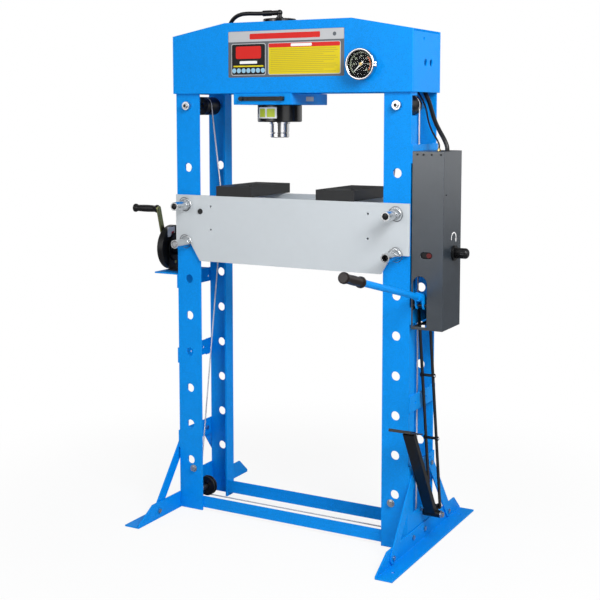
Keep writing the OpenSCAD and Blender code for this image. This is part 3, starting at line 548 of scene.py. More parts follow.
@dataclass(frozen=True)
class Finish:
    """What every finish has: a name, the record's slot, a base colour and a roughness."""

    name: str
    slot: str
    color: Color
    sheen: float

    @property
    def rgba(self) -> tuple[float, float, float, float]:
        """The base colour with full cover."""
        return (*self.color, 1.0)

    def material(self) -> bpy.types.Material:
        """The Blender material, built once."""
        made = bpy.data.materials.get(self.name)
        if made is None:
            made = bpy.data.materials.new(self.name)
            graph = Graph.inside(made)
            shader = graph.add("BsdfPrincipled")
            self.fill(graph, shader)
            graph.add("OutputMaterial", Surface=shader[0])
        return made

    def fill(self, graph: Graph, shader: Placed) -> None:
        """Sets the shader's sockets; each kind of finish has its own."""
        raise NotImplementedError

    @staticmethod
    def bump(graph: Graph, shader: Placed, height: Signal, strength: float, depth: float) -> None:
        """Feeds a height into the shader's normal."""
        shader.feed(Normal=graph.add("Bump", Height=height, Strength=strength, Distance=depth)[0])


@dataclass(frozen=True)
class Coat(Finish):
    """Sprayed paint or powder coat: mottled colour, dust on top and orange peel."""

    mottle: float = 0.03
    peel: float = 0.18
    peel_scale: float = 620.0
    specular: float = 0.35
    dust: float = 0.06
    speckle: float = 0.0
    spread: float = 0.06
    depth: float = 0.0006

    def fill(self, graph: Graph, shader: Placed) -> None:
        """Grain and dust in the colour, uneven sheen and an even specular level.

        Args:
            graph: the material's graph.
            shader: its shader.
        """
        grain = Effect.place(
            graph, "coat_grain", Color=self.rgba, Mottle=self.mottle, Speckle=self.speckle,
            Peel_Scale=self.peel_scale, Sheen=self.sheen, Sheen_Spread=self.spread,
        )
        dust = Effect.place(graph, "settled_dust", Color=grain["Color"], Amount=self.dust)
        shader.feed(Base_Color=dust["Color"], Roughness=grain["Roughness"], Specular_IOR_Level=self.specular)
        self.bump(graph, shader, grain["Height"], self.peel, self.depth)


@dataclass(frozen=True)
class Moulded(Coat):
    """Rubber or plastic from a mould: an even colour with a fine grain."""

    mottle: float = 0.06
    peel: float = 0.12
    peel_scale: float = 900.0
    specular: float = 0.45
    dust: float = 0.1
    spread: float = 0.1
    depth: float = 0.0005


@dataclass(frozen=True)
class Steel(Finish):
    """Bare or plated metal with the marks of its making."""

    stretch: tuple[float, float, float] = (1.0, 1.0, 1.0)
    spread: float = 0.12
    fine: float = 420.0
    marks: float = 0.1
    tint: Color = (0.35, 0.35, 0.36)
    tint_share: float = 0.25
    tinted: tuple[float, float] = (0.45, 0.75)
    depth: float = 0.0003

    def fill(self, graph: Graph, shader: Placed) -> None:
        """Metal whose colour turns to its tint a little where the marks lie.

        Args:
            graph: the material's graph.
            shader: its shader.
        """
        brush = Effect.place(
            graph, "brush_marks", Stretch=self.stretch, Sheen=self.sheen,
            Sheen_Spread=self.spread, Fine_Scale=self.fine,
        )
        share = graph.ramp(brush["Mask"], *self.tinted) * self.tint_share
        color = graph.blend(share, self.rgba, (*self.tint, 1.0))
        shader.feed(Base_Color=color, Metallic=1.0, Roughness=brush["Roughness"])
        self.bump(graph, shader, brush["Height"], self.marks, self.depth)


@dataclass(frozen=True)
class Wound(Finish):
    """A cable of wound wire strands."""

    pitch: float = 0.018
    strands: float = 6.0
    metallic: float = 0.35
    # share of the colour left in the grooves: painted shade
    groove: float = 0.35
    relief: float = 0.8
    depth: float = 0.0008

    def fill(self, graph: Graph, shader: Placed) -> None:
        """Bright strands with painted shade in the grooves between them.

        Args:
            graph: the material's graph.
            shader: its shader.
        """
        lay = Effect.place(graph, "rope_lay", Pitch=self.pitch, Strands=self.strands)
        dark = (*(self.groove * c for c in self.color), 1.0)
        color = graph.blend(lay["Groove"], self.rgba, dark)
        shader.feed(Base_Color=color, Metallic=self.metallic, Roughness=self.sheen)
        self.bump(graph, shader, lay["Height"], self.relief, self.depth)


@dataclass(frozen=True)
class Clear(Finish):
    """Clear glass, thin enough to bend little light."""

    ior: float = 1.1
    spread: float = 0.03
    fine: float = 60.0

    def fill(self, graph: Graph, shader: Placed) -> None:
        """A clear pane with faint smears in its sheen.

        Args:
            graph: the material's graph.
            shader: its shader.
        """
        smears = Effect.place(
            graph, "brush_marks", Sheen=self.sheen, Sheen_Spread=self.spread, Fine_Scale=self.fine
        )
        shader.feed(Base_Color=self.rgba, Roughness=smears["Roughness"])
        shader.feed(Transmission_Weight=1.0, IOR=self.ior)


def printed(name: str, color: Color, sheen: float = 0.3, **changes: float) -> Coat:
    """A flat printed field: a clean coat in the slot of white paint."""
    return Coat(name, "white_paint", color, sheen, **{"mottle": 0.01, "peel": 0.04, "dust": 0.0, **changes})


BLUE = Coat(
    "blue_coat", "blue_paint", (0.001, 0.256, 0.77), 0.40,
    mottle=0.03, peel=0.6, peel_scale=380.0, specular=0.10, dust=0.006, speckle=0.7,
)
BED_GREY = Coat(
    "bed_coat", "bed_paint", (0.535, 0.575, 0.605), 0.38, mottle=0.012, peel=0.08, specular=0.4
)
CASE_GREY = Coat(
    "case_coat", "case_paint", (0.025, 0.034, 0.045), 0.30,
    mottle=0.09, peel=0.14, peel_scale=800.0, specular=1.0,
)
BLACK = Coat(
    "black_coat", "black_paint", (0.0055, 0.006, 0.007), 0.34, mottle=0.04, peel=0.14, specular=0.28
)
BLACK_DEEP = Coat(
    "black_gloss", "black_paint", (0.005, 0.005, 0.006), 0.20, mottle=0.02, peel=0.05, specular=0.45
)
IRON = Coat(
    "dark_iron", "black_oxide", (0.010, 0.0108, 0.012), 0.40,
    mottle=0.1, peel=0.3, peel_scale=300.0, dust=0.14,
)

WHITE = printed("white_mark", (0.82, 0.82, 0.82), 0.45, peel=0.05)
YELLOW = printed("yellow_field", (0.66, 0.53, 0.012), specular=0.12)
RED = printed("red_field", (0.60, 0.020, 0.016), specular=0.12)
INK = printed("ink_field", (0.007, 0.007, 0.008), specular=0.12)
SKY = printed("sky_field", (0.28, 0.50, 0.66), specular=0.12)
PALE = printed("pale_field", (0.46, 0.47, 0.49), mottle=0.02, specular=0.2)
STONE = printed("stone_field", (0.105, 0.115, 0.13), mottle=0.02, specular=0.15)
OCHRE = printed("ochre_field", (0.38, 0.29, 0.012), 0.4, peel=0.03)
LIME = printed("lime_mark", (0.52, 0.62, 0.04), 0.4, peel=0.03)
ORANGE = printed("orange_mark", (0.80, 0.16, 0.02), 0.4, peel=0.03)
EMBER = printed("ember_mark", (0.10, 0.006, 0.006), 0.4)
TICK = printed("tick_mark", (0.42, 0.47, 0.34), 0.5, peel=0.0, specular=0.1)

ZINC = Steel("zinc_plate", "zinc", (0.54, 0.55, 0.57), 0.3, spread=0.1, tint=(0.45, 0.45, 0.47))
WIRE = Steel("clip_wire", "zinc", (0.16, 0.16, 0.17), 0.3)
PIN_STEEL = Steel("pin_steel", "zinc", (0.70, 0.71, 0.72), 0.22, stretch=(1, 8, 1), spread=0.1, fine=120.0)
TURNED = Steel(
    "turned_steel", "chrome", (0.72, 0.72, 0.73), 0.2, stretch=(1, 1, 14), spread=0.1, fine=60.0, marks=0.12
)
CHROME = Steel("polished_steel", "chrome", (0.62, 0.62, 0.63), 0.12, spread=0.05, marks=0.03, tint_share=0.1)
OLIVE = Steel(
    "passivated_steel", "olive_zinc", (0.34, 0.36, 0.16), 0.34, tint=(0.40, 0.28, 0.14), tint_share=0.5
)
BRASS = Steel("machined_brass", "brass", (0.62, 0.45, 0.18), 0.28, tint=(0.35, 0.22, 0.08))
ROPE = Wound("wire_rope", "steel_rope", (0.80, 0.80, 0.81), 0.38)
GLASS = Clear("gauge_glass", "clear_glass", (0.99, 1.0, 1.0), 0.0)

DIAL = Moulded("dial_face", "dial_black", (0.004, 0.005, 0.006), 0.6, peel=0.03, specular=0.12, dust=0.0)
GRIP_BROWN = Moulded("brown_grip", "grip_brown", (0.011, 0.0065, 0.0055), 0.38, specular=0.3, dust=0.03)
GRIP_BLACK = Moulded("black_grip", "grip_black", (0.006, 0.006, 0.007), 0.32, specular=0.3, dust=0.04)
NYLON = Moulded("black_nylon", "grip_black", (0.008, 0.008, 0.009), 0.40, specular=0.3)
HOSE = Moulded(
    "hose_cover", "hose_rubber", (0.007, 0.007, 0.008), 0.34,
    peel=0.3, peel_scale=500.0, specular=0.35, dust=0.05,
)


# ---------------------------------------------------------------- the bench


def stand(name: str, data: bpy.types.ID) -> bpy.types.Object:
    """Puts a new object at the origin of the scene.

    Args:
        name: its name.
        data: the mesh, lamp, camera or curve that it holds.

    Returns:
        The object.
    """
    obj = bpy.data.objects.new(name, data)
    bpy.context.scene.collection.objects.link(obj)
    return obj


class Bench:
    """Puts finished pieces into the scene, each with its finish, its body and the nodes it stands for."""

    same_point: ClassVar[float] = 2e-5  # points of a node nearer than this become one
    flat: ClassVar[float] = math.radians(0.6)  # faces that turn less than this from each other join
    sharp: ClassVar[float] = math.radians(30)  # edges of a node that turn more are shaded sharp
    rounded_from: ClassVar[float] = math.radians(40)  # edges that turn more are rounded
    normal_weight: ClassVar[int] = 90

    @staticmethod
    def _keep(obj: bpy.types.Object, finish: Finish, body: str, replaces: Iterable[str]) -> bpy.types.Object:
        """Dresses an object, lets it ride and hides the frame nodes that it replaces.

        Args:
            obj: the piece.
            finish: its finish.
            body: the body it rides on.
            replaces: frame nodes that it stands for.

        Returns:
            The piece.
        """
        obj.data.materials.clear()
        obj.data.materials.append(finish.material())
        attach(obj, body)
        nodes = list(replaces)
        if nodes:
            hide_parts(*nodes)
        LOG.info("%s on %s, %d points", obj.name, body, len(obj.data.vertices))
        return obj

    @classmethod
    def _soften(cls, obj: bpy.types.Object, width: float, segments: int) -> None:
        """Rounds the sharp edges with a live bevel and keeps the flat faces flat.

        Args:
            obj: the piece.
            width: width of the rounding.
            segments: steps across it.
        """
        bevel = obj.modifiers.new("edge", "BEVEL")
        bevel.width = width
        bevel.segments = segments
        bevel.limit_method = "ANGLE"
        bevel.angle_limit = cls.rounded_from
        bevel.miter_outer = "MITER_ARC"
        bevel.loop_slide = False
        normals = obj.modifiers.new("flat_faces", "WEIGHTED_NORMAL")
        normals.weight = cls.normal_weight
        normals.keep_sharp = True

    @classmethod
    def refine(cls, node: str, finish: Finish, edge: float, segments: int = 2) -> bpy.types.Object:
        """A copy of a frame node with joined faces and rounded edges, which stands for the node.

        Args:
            node: name of the frame node.
            finish: its finish.
            edge: width of the rounded edge, or 0.
            segments: steps across that edge.

        Returns:
            The new piece.
        """
        mesh = frame["nodes"][node].data.copy()
        work = bmesh.new()
        work.from_mesh(mesh)
        bmesh.ops.remove_doubles(work, verts=work.verts, dist=cls.same_point)
        bmesh.ops.dissolve_limit(work, angle_limit=cls.flat, verts=work.verts, edges=work.edges)
        bmesh.ops.connect_verts_concave(work, faces=work.faces)
        work.to_mesh(mesh)
        work.free()
        mesh.shade_smooth()
        mesh.set_sharp_from_angle(angle=cls.sharp)
        obj = stand(node + "_dressed", mesh)
        if edge > 0:
            cls._soften(obj, edge, segments)
        return cls._keep(obj, finish, NODE_BODY[node], [node])

    @classmethod
    def add(
        cls,
        name: str,
        surface: Surface,
        finish: Finish,
        body: str = "frame",
        replaces: Iterable[str] = (),
        edge: float = 0.0,
        merge: float = 1e-6,
    ) -> bpy.types.Object:
        """Adds a piece made from a surface.

        Args:
            name: name of the piece.
            surface: its points and faces.
            finish: its finish.
            body: the body it rides on.
            replaces: frame nodes that it stands for.
            edge: width of a rounded edge, or 0.
            merge: distance below which points become one; a surface with texture coordinates keeps them all.

        Returns:
            The new piece.
        """
        obj = stand(name, surface.mesh(name, merge if surface.uv is None else 0.0))
        if edge > 0:
            cls._soften(obj, edge, 2)
        return cls._keep(obj, finish, body, replaces)


@dataclass(frozen=True)
class Box:
    """The box round a frame node."""

    low: Array
    high: Array

    @classmethod
    def of(cls, node: str) -> "Box":
        """Reads a node's box."""
        return cls(*(np.array(corner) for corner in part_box(node)))

    @property
    def middle(self) -> Array:
        """The point halfway."""
        return (self.low + self.high) / 2

    @property
    def size(self) -> Array:
        """How far it reaches along X, Y and Z."""
        return self.high - self.low


# ---------------------------------------------------------------- sub-assemblies


class Assembly:
    """A sub-assembly: it refines its frame nodes, then adds the detail they lack."""

    refined: ClassVar[dict[str, tuple]] = {}

    def build(self) -> None:
        """Refines each node with its finish and edge, then adds the detail."""
        for node, how in self.refined.items():
            Bench.refine(node, *how)
        self.detail()

    def detail(self) -> None:
        """Adds what the nodes lack; each sub-assembly has its own."""
        raise NotImplementedError


@dataclass
class Columns(Assembly):
    """The four column sections, what ties them, the feet and their braces."""

    refined: ClassVar = {
        **dict.fromkeys(("upright_fl", "upright_fr", "upright_rl", "upright_rr"), (BLUE, 0.0012)),
        **dict.fromkeys(("crossbars", "foot_left", "foot_right", "braces", "pulley_straps"), (BLUE, 0.0012)),
        "tie_bars": (BLUE, 0.0008),
        "frame_bolts": (ZINC, 0.0005),
        "pulley_axles": (ZINC, 0.0007),
    }
    axle_inset: float = 0.016
    bead_radius: float = 0.0028
    bead_swell: float = 0.18
    bead_inset: float = 0.004
    bead_length: float = 0.040
    ties_right: tuple[float, ...] = (0.492, 0.550, 0.800, 0.860, 1.350, 1.412)
    ties_left: tuple[float, ...] = (0.568, 0.626)

    def detail(self) -> None:
        """The painted shade in the axles' hollow ends, and the weld beads."""
        self.axle_ends()
        self.welds("left", -1, self.ties_left)
        self.welds("right", 1, self.ties_right)

    def axle_ends(self) -> None:
        """A black disc on the front end of each upper axle: painted shade standing for its hollow centre."""
        box = Box.of("pulley_axles")
        profile = [(0.0, -0.0004), (0.0058, -0.0004), (0.0064, 0.0002), (0.0064, 0.003), (0.0, 0.003)]
        for side, x in (("left", box.low[0] + self.axle_inset), ("right", box.high[0] - self.axle_inset)):
            centre = (x, box.low[1], box.high[2] - self.axle_inset)
            # painted shade: a flat black disc where the axle's hollow end is dark
            Bench.add(f"axle_hole_shade_{side}", lathe(profile, centre, Axis.Y, 24), BLACK)

    def welds(self, name: str, side: int, heights: Sequence[float]) -> None:
        """Beads along the edges of one side's tie bars, where they meet the front and rear sections.

        Args:
            name: name of the side.
            side: -1 on the left and 1 on the right.
            heights: where the bars' lower and upper edges are.
        """
        x = side * Box.of("upright_fr").high[0]
        near = Box.of("upright_fl").low[1] + self.bead_inset
        far = Box.of("upright_rl").high[1] - self.bead_inset
        spans = ((near, near + self.bead_length), (far - self.bead_length, far))
        radius, swell = self.bead_radius, self.bead_swell
        beads = [bead((x, y0, z), (x, y1, z), radius, swell) for z in heights for y0, y1 in spans]
        Bench.add(f"weld_beads_{name}", Surface.joined(beads), BLUE, merge=0.0)


@dataclass
class Head(Assembly):
    """The head plates, their ends, the rails and the label, which is plain fields in layers."""

    refined: ClassVar = dict.fromkeys(("head_front", "head_rear", "head_ends", "head_rails"), (BLUE, 0.0014))
    # name, finish, layer, (left, right, low, high), radius of the corners
    fields: ClassVar = (
        ("back", STONE, 0, (-0.238, 0.229, 1.646, 1.810), 0.003),
        ("band", PALE, 1, (-0.237, 0.228, 1.772, 1.809), 0.002),
        ("title", RED, 2, (-0.148, 0.136, 1.780, 1.800), 0.004),
        ("square_rim", PALE, 1, (-0.225, -0.082, 1.653, 1.766), 0.007),
        ("square", INK, 2, (-0.2225, -0.0845, 1.6555, 1.7635), 0.006),
        ("block", RED, 3, (-0.206, -0.101, 1.712, 1.756), 0.006),
        ("strip", WHITE, 3, (-0.190, -0.117, 1.694, 1.704), 0.003),
        ("lines", YELLOW, 3, (-0.216, -0.091, 1.683, 1.688), 0.001),
        ("panel_rim", PALE, 1, (-0.072, 0.216, 1.653, 1.766), 0.007),
        ("yellow", YELLOW, 2, (-0.0695, 0.2135, 1.6555, 1.7635), 0.006),
        ("header", RED, 3, (-0.0695, 0.2135, 1.749, 1.7635), 0.005),
        ("header_mark", WHITE, 4, (0.020, 0.104, 1.7515, 1.7615), 0.003),
    )
    proud: float = 0.0005
    layer: float = 0.00022
    edge: float = 0.00015
    corner_dot: tuple[float, float, float] = (0.192, 1.790, 0.007)
    dots: int = 7
    dot_first: tuple[float, float] = (-0.2135, 1.670)
    dot_pitch: float = 0.020
    dot_radius: float = 0.0086
    rows: int = 13
    row_first: float = 1.7425
    row_pitch: float = 0.0066
    row_half: float = 0.0008
    row_start: float = -0.062
    row_ends: tuple[float, ...] = (0.198, 0.205, 0.192, 0.150)

    def field(self, name: str, outline: Array, finish: Finish, layer: int) -> None:
        """One flat field of the label.

        Args:
            name: its name on the label.
            outline: its outline in X and Z.
            finish: its colour.
            layer: how many fields lie below it.
        """
        front = Box.of("head_front").low[1]
        plate = front_plate(outline, front - self.proud - self.layer * layer, front + SUNK)
        Bench.add("label_" + name, plate, finish, edge=self.edge)

    def detail(self) -> None:
        """The label: a light band above, a dark square and a yellow field with rows below it."""
        for name, finish, layer, sides, corner in self.fields:
            self.field(name, rounded(*sides, corner), finish, layer)
        self.field("corner", disc(*self.corner_dot), STONE, 2)
        x, z = self.dot_first
        for i in range(self.dots):
            self.field(f"dot_{i}", disc(x + self.dot_pitch * i, z, self.dot_radius), SKY, 3)
        for i in range(self.rows):
            z, end = self.row_first - self.row_pitch * i, self.row_ends[i % len(self.row_ends)]
            row = rounded(self.row_start, end, z - self.row_half, z + self.row_half, 0.75 * self.row_half)
            self.field(f"row_{i}", row, OCHRE, 3)


@dataclass
class Gauge(Assembly):
    """The pressure gauge: case, dial with its scale, needle and glass."""

    refined: ClassVar = {"gauge_dial": (DIAL, 0.0)}
    first: float = 225.0
    sweep: float = 270.0
    steps: int = 60
    numbers: tuple[int, ...] = (0, 10, 20, 30, 40, 50, 60)
    number_size: float = 0.0088
    number_radius: float = 0.0272
    number_half: float = 0.0002
    long_every: int = 10
    # inner radius, outer radius, width
    long: tuple[float, ...] = (0.0335, 0.041, 0.0011)
    short: tuple[float, ...] = (0.0365, 0.041, 0.0005)
    stroke_height: float = 0.0003
    # first share, last share, inner radius, outer radius, height
    ring_line: tuple[float, ...] = (0, 1, 0.0412, 0.0418, 0.0003)
    high_band: tuple[float, ...] = (0.66, 0.97, 0.0325, 0.0352, 0.0002)
    case_radius: float = 0.050
    bore: float = 0.0041
    well: float = 0.018
    shank: float = 0.0261

    def __post_init__(self) -> None:
        """Reads the gauge's place from the frame."""
        case, dial = Box.of("gauge_case"), Box.of("gauge_dial")
        self.x, _, self.z = dial.middle
        self.front, self.back = case.low[1], case.high[1]
        self.rim = case.high[0] - self.x
        self.seat = Box.of("head_front").low[1]
        self.face = dial.low[1]
        self.radius = dial.high[0] - self.x

    def detail(self) -> None:
        """Makes the gauge from its case outwards."""
        self.case()
        self.clamp()
        self.scale()
        self.needle()
        self.glass()

    def case(self) -> None:
        """A turned case with a rolled rim: one profile of (radius, height), from its bore outwards."""
        depth, r, wall = self.seat - self.front, self.rim, self.radius + 0.0001
        inside = [(0.0, depth - self.shank), (self.bore, depth - self.shank), (self.bore, depth - self.well)]
        inside += [(wall, depth - self.well), (wall, depth - 0.0025), (wall + 0.0022, depth - 0.0006)]
        rim = [(r - 0.0035, depth), (r - 0.0015, depth - 0.0008), (r, depth - 0.003), (r, depth - 0.012)]
        neck = [(r - 0.001, depth - 0.0145), (self.case_radius, depth - 0.016), (self.case_radius, 0.006)]
        foot = [(self.case_radius - 0.0005, 0.002), (self.case_radius - 0.004, 0.0), (0.030, 0.0)]
        stem = [(0.010, 0.0005), (0.010, self.seat - self.back), (0.0, self.seat - self.back)]
        profile = [(r, -height) for r, height in inside + rim + neck + foot + stem]
        surface = lathe(profile, (self.x, self.seat, self.z), Axis.Y, 64)
        Bench.add("gauge_case_dressed", surface, CHROME, replaces=["gauge_case"])

    def clamp(self) -> None:
        """The small screwed lugs where the rim's ring closes, on the right."""
        x, y = self.x + self.rim, self.front + 0.007
        lug = np.array([[-0.002, -0.005], [0.008, -0.004], [0.008, 0.004], [-0.002, 0.005]]) + [x, y]
        for name, z in (("low", self.z - 0.004), ("high", self.z + 0.004)):
            Bench.add(f"gauge_lug_{name}", slab(lug, z - 0.002, z + 0.002, Axis.Z), CHROME, edge=0.0004)
        head = [(0.0, -0.0105), (0.0028, -0.0105), (0.0034, -0.0095), (0.0034, -0.006)]
        screw = head + [(0.002, -0.006), (0.002, 0.008), (0.0, 0.008)]
        Bench.add("gauge_screw", lathe(screw, (x + 0.0045, y, self.z), Axis.Z, 24), ZINC)

    def spot(self, share: Array | float, radius: float) -> Array:
        """Where shares of the scale lie: centre + radius (cos a, sin a), a falling with the share."""
        a = np.radians(self.first - self.sweep * np.asarray(share, float))
        return np.stack([self.x + radius * np.cos(a), self.z + radius * np.sin(a)], -1)

    def raised(self, outline: Array, height: float) -> Surface:
        """A mark with an outline in X and Z that stands a height off the dial."""
        return front_plate(outline, self.face - height, self.face + SUNK / 2)

    def stroke(self, share: float, inner: float, outer: float, width: float) -> Surface:
        """One radial stroke of the scale.

        Args:
            share: where it is on the scale.
            inner: radius of its inner end.
            outer: radius of its outer end.
            width: its width.

        Returns:
            The raised stroke.
        """
        start, end = self.spot(share, inner), self.spot(share, outer)
        along = (end - start) / (outer - inner)
        across = np.array([-along[1], along[0]]) * width / 2
        outline = np.array([start - across, end - across, end + across, start + across])
        return self.raised(outline, self.stroke_height)

    def arc(self, first: float, last: float, inner: float, outer: float, height: float) -> Surface:
        """A band of the scale.

        Args:
            first: share of the scale where it starts.
            last: share where it ends.
            inner: its inner radius.
            outer: its outer radius.
            height: how far it stands off the dial.

        Returns:
            The raised band.
        """
        shares = np.linspace(first, last, 40)
        return self.raised(np.vstack([self.spot(shares, outer)[::-1], self.spot(shares, inner)]), height)

    def scale(self) -> None:
        """Long and short strokes, a line round them, a coloured band and plain numbers."""
        kinds = [self.short if i % self.long_every else self.long for i in range(self.steps + 1)]
        strokes = [self.stroke(i / self.steps, *kind) for i, kind in enumerate(kinds)]
        Bench.add("gauge_strokes", Surface.joined(strokes), TICK, merge=0.0)
        Bench.add("gauge_ring_line", self.arc(*self.ring_line), TICK)
        Bench.add("gauge_warning_band", self.arc(*self.high_band), ORANGE)
        for number, share in zip(self.numbers, np.linspace(0, 1, len(self.numbers))):
            self.number(str(number), share)

    def number(self, text: str, share: float) -> None:
        """One plain number of the scale, made a mesh and set upright on the dial.

        Args:
            text: the number.
            share: where it is on the scale.
        """
        curve = bpy.data.curves.new("number_" + text, "FONT")
        curve.body = text
        curve.size = self.number_size
        curve.align_x = "CENTER"
        curve.align_y = "CENTER"
        curve.extrude = self.number_half
        holder = stand("number_" + text, curve)
        mesh = bpy.data.meshes.new_from_object(holder.evaluated_get(bpy.context.evaluated_depsgraph_get()))
        bpy.data.objects.remove(holder)
        flat = np.empty(len(mesh.vertices) * 3, np.float32)
        mesh.vertices.foreach_get("co", flat)
        across, up, out = flat.reshape(-1, 3).astype(float).T
        x, z = self.spot(share, self.number_radius)
        points = np.stack([x + across, self.face - self.number_half - out, z + up], -1)
        Bench.add("gauge_number_" + text, Surface(points, [tuple(p.vertices) for p in mesh.polygons]), TICK)

    def needle(self) -> None:
        """A tapered needle with a tail and a domed boss, at the start of the scale."""
        tip, tail, half = 0.036, 0.012, 0.0026
        right = [(half, -tail), (half * 0.9, 0.002), (0.0006, tip - 0.002)]
        shape = np.array([(-half, -tail), *right, (0, tip), (-0.0006, tip - 0.002), (-half * 0.9, 0.002)])
        a = math.radians(self.first - 90)
        turned = shape @ np.array([[math.cos(a), math.sin(a)], [-math.sin(a), math.cos(a)]])
        blade = front_plate(turned + [self.x, self.z], self.face - 0.0044, self.face - 0.0034)
        Bench.add("gauge_needle_dressed", blade, WHITE, "needle", ["gauge_needle"], edge=0.0002)
        back = Box.of("gauge_needle").high[1] - self.face
        dome = [(0.0, -0.0068), (0.0025, -0.0066), (0.0048, -0.0062), (0.006, -0.005), (0.006, -0.0032)]
        boss = dome + [(0.004, -0.003), (0.004, back), (0.0, back)]
        Bench.add("gauge_needle_boss", lathe(boss, (self.x, self.face, self.z), Axis.Y, 32), BRASS, "needle")

    def glass(self) -> None:
        """A pane in the rim: radius r sin a, height by cos a, a from 0 to a quarter turn."""
        back, dome = Box.of("gauge_glass").high[1], 0.0018
        quarter = np.linspace(0, math.pi / 2, 9)
        curved = np.stack([self.radius * np.sin(quarter), -0.002 - dome * np.cos(quarter)], -1)
        profile = [*curved.tolist(), (self.radius, 0.0), (0.0, -0.0004)]
        pane = lathe(profile, (self.x, back, self.z), Axis.Y, 64)
        Bench.add("gauge_pane", pane, GLASS, replaces=["gauge_glass"])


@dataclass
class Cylinder(Assembly):
    """The sliding carriage with the hydraulic cylinder and its ram."""

    refined: ClassVar = {
        "carriage": (BLUE, 0.0014),
        "carriage_bar": (BLACK, 0.0006),
        "gland_ring": (TURNED, 0.0006),
        "hose_elbow": (BLACK_DEEP, 0.0006),
    }
    # name: (first and last angle), (lower and upper edge), how far it stands off, finish
    wraps: ClassVar = {
        "cylinder_field": ((-127, -68), (0.013, 0.053), 0.0003, WHITE),
        "cylinder_block_left": ((-122, -101), (0.018, 0.048), 0.0005, LIME),
        "cylinder_block_right": ((-95, -73), (0.018, 0.048), 0.0005, LIME),
    }
    wrap_sunk: float = 0.0003
    wrap_steps: int = 14
    plate: tuple[float, ...] = (-0.028, 0.030, 0.013, 0.029)
    neck_radius: float = 0.065
    cap_radius: float = 0.061
    bore_radius: float = 0.048
    collar: float = 0.044
    piston_length: float = 0.036
    peg_radius: float = 0.012
    grooves: int = 4
    groove_pitch: float = 0.0055

    def __post_init__(self) -> None:
        """Reads the cylinder's axis and radii from the frame."""
        self.shell, self.saddle = Box.of("press_cylinder"), Box.of("ram_saddle")
        self.x, self.y, _ = self.saddle.middle
        self.radius = self.shell.size[0] / 2
        self.ram_radius = self.saddle.size[0] / 2

    def detail(self) -> None:
        """Turns the cylinder, the ram and its saddle, and sets the marks."""
        self.turned("press_cylinder", self.body_profile(), 96, BLACK_DEEP, "carriage")
        self.turned("ram", self.ram_profile(), 80, TURNED, "ram")
        self.turned("ram_saddle", self.saddle_profile(), 80, TURNED, "ram")
        self.marks()

    def turned(self, node: str, profile: Profile, sides: int, finish: Finish, body: str) -> None:
        """Turns a profile about the cylinder's axis, in place of a node.

        Args:
            node: the node it stands for.
            profile: (radius, height) pairs.
            sides: number of steps round.
            finish: its finish.
            body: the body it rides on.
        """
        Bench.add(node + "_dressed", lathe(profile, (self.x, self.y, 0), Axis.Z, sides), finish, body, [node])

    def body_profile(self) -> Profile:
        """The cylinder, from its bore out and up: chamfered steps and a low cap."""
        r, z0, z1 = self.radius, self.shell.low[2], self.shell.high[2]
        shelf, top = Box.of("carriage").low[2], z1 - 0.013
        bore = self.ram_radius + 0.00008
        inside = [(0.0, top - 0.020), (self.bore_radius, top - 0.020), (self.bore_radius, z0 + self.collar)]
        mouth = [(bore, z0 + self.collar), (bore, z0 + 0.0012), (bore + 0.0012, z0)]
        outside = [(r - 0.003, z0), (r, z0 + 0.003), (r, shelf - 0.0025), (r - 0.0025, shelf)]
        neck = [(self.neck_radius, shelf), (self.neck_radius, top), (self.cap_radius - 0.002, top)]
        cap = [(self.cap_radius, top + 0.002), (self.cap_radius, z1 - 0.003), (self.cap_radius - 0.003, z1)]
        return inside + mouth + outside + neck + cap + [(0.0, z1)]

    def ram_profile(self) -> Profile:
        """The ram, with a socket for the saddle's peg below and the piston above."""
        box = Box.of("ram")
        r, z0, z1 = self.ram_radius, box.low[2], box.high[2]
        piston, neck, socket = box.size[0] / 2, z1 - self.piston_length, self.peg_radius + 0.00005
        foot = [(0.0, z0 + 0.0121), (socket, z0 + 0.0121), (socket, z0 - 0.0001), (r - 0.0015, z0)]
        step = [(r, z0 + 0.0015), (r, neck), (piston - 0.002, neck), (piston, neck + 0.002)]
        return foot + step + [(piston, z1 - 0.002), (piston - 0.002, z1), (0.0, z1)]

    def saddle_profile(self) -> Profile:
        """The saddle: turned grooves on its face, a waist below the ram and a peg in it."""
        r, b, t = self.ram_radius, self.saddle.low[2], Box.of("ram").low[2]
        rings = [(0.0, b + 0.0005), (0.004, b + 0.0005), (0.0048, b + 0.0012), (0.0056, b + 0.0005)]
        for q in 0.011 + self.groove_pitch * np.arange(self.grooves):
            rings += [(q, b), (q + 0.0006, b + 0.0008), (q + 0.0012, b)]
        side = [(r - 0.0025, b), (r, b + 0.0025), (r, t - 0.0045), (r - 0.0012, t - 0.003)]
        waist = [(r - 0.0035, t - 0.003), (r - 0.0035, t)]
        peg = [(self.peg_radius, t), (self.peg_radius, t + 0.0115), (0.0, t + 0.0115)]
        return rings + side + waist + peg

    def bent(self, angles: tuple[float, float], heights: tuple[float, float], proud: float) -> Surface:
        """A thin field bent round the cylinder: its section carried through the angles.

        Args:
            angles: where it starts and ends, in degrees.
            heights: its lower and upper edge, from the cylinder's foot.
            proud: how far it stands off the cylinder.

        Returns:
            The closed field.
        """
        a = np.radians(np.linspace(*angles, self.wrap_steps))[:, None]
        r, h = rectangle(self.radius - self.wrap_sunk, self.radius + proud, *heights)[::-1].T
        h = np.broadcast_to(self.shell.low[2] + h, (len(a), len(h)))
        return skin(np.stack([self.x + r * np.cos(a), self.y + r * np.sin(a), h], -1))

    def marks(self) -> None:
        """A plain white field with two coloured blocks, and a small pale field on the carriage's side."""
        for name, (angles, heights, proud, finish) in self.wraps.items():
            Bench.add(name, self.bent(angles, heights, proud), finish, "carriage")
        side = Box.of("carriage")
        outline = rectangle(*self.plate) + [side.middle[1], side.low[2]]
        surface = slab(outline, side.high[0] - SUNK, side.high[0] + 2 * SUNK, Axis.X)
        Bench.add("carriage_field", surface, PALE, "carriage")


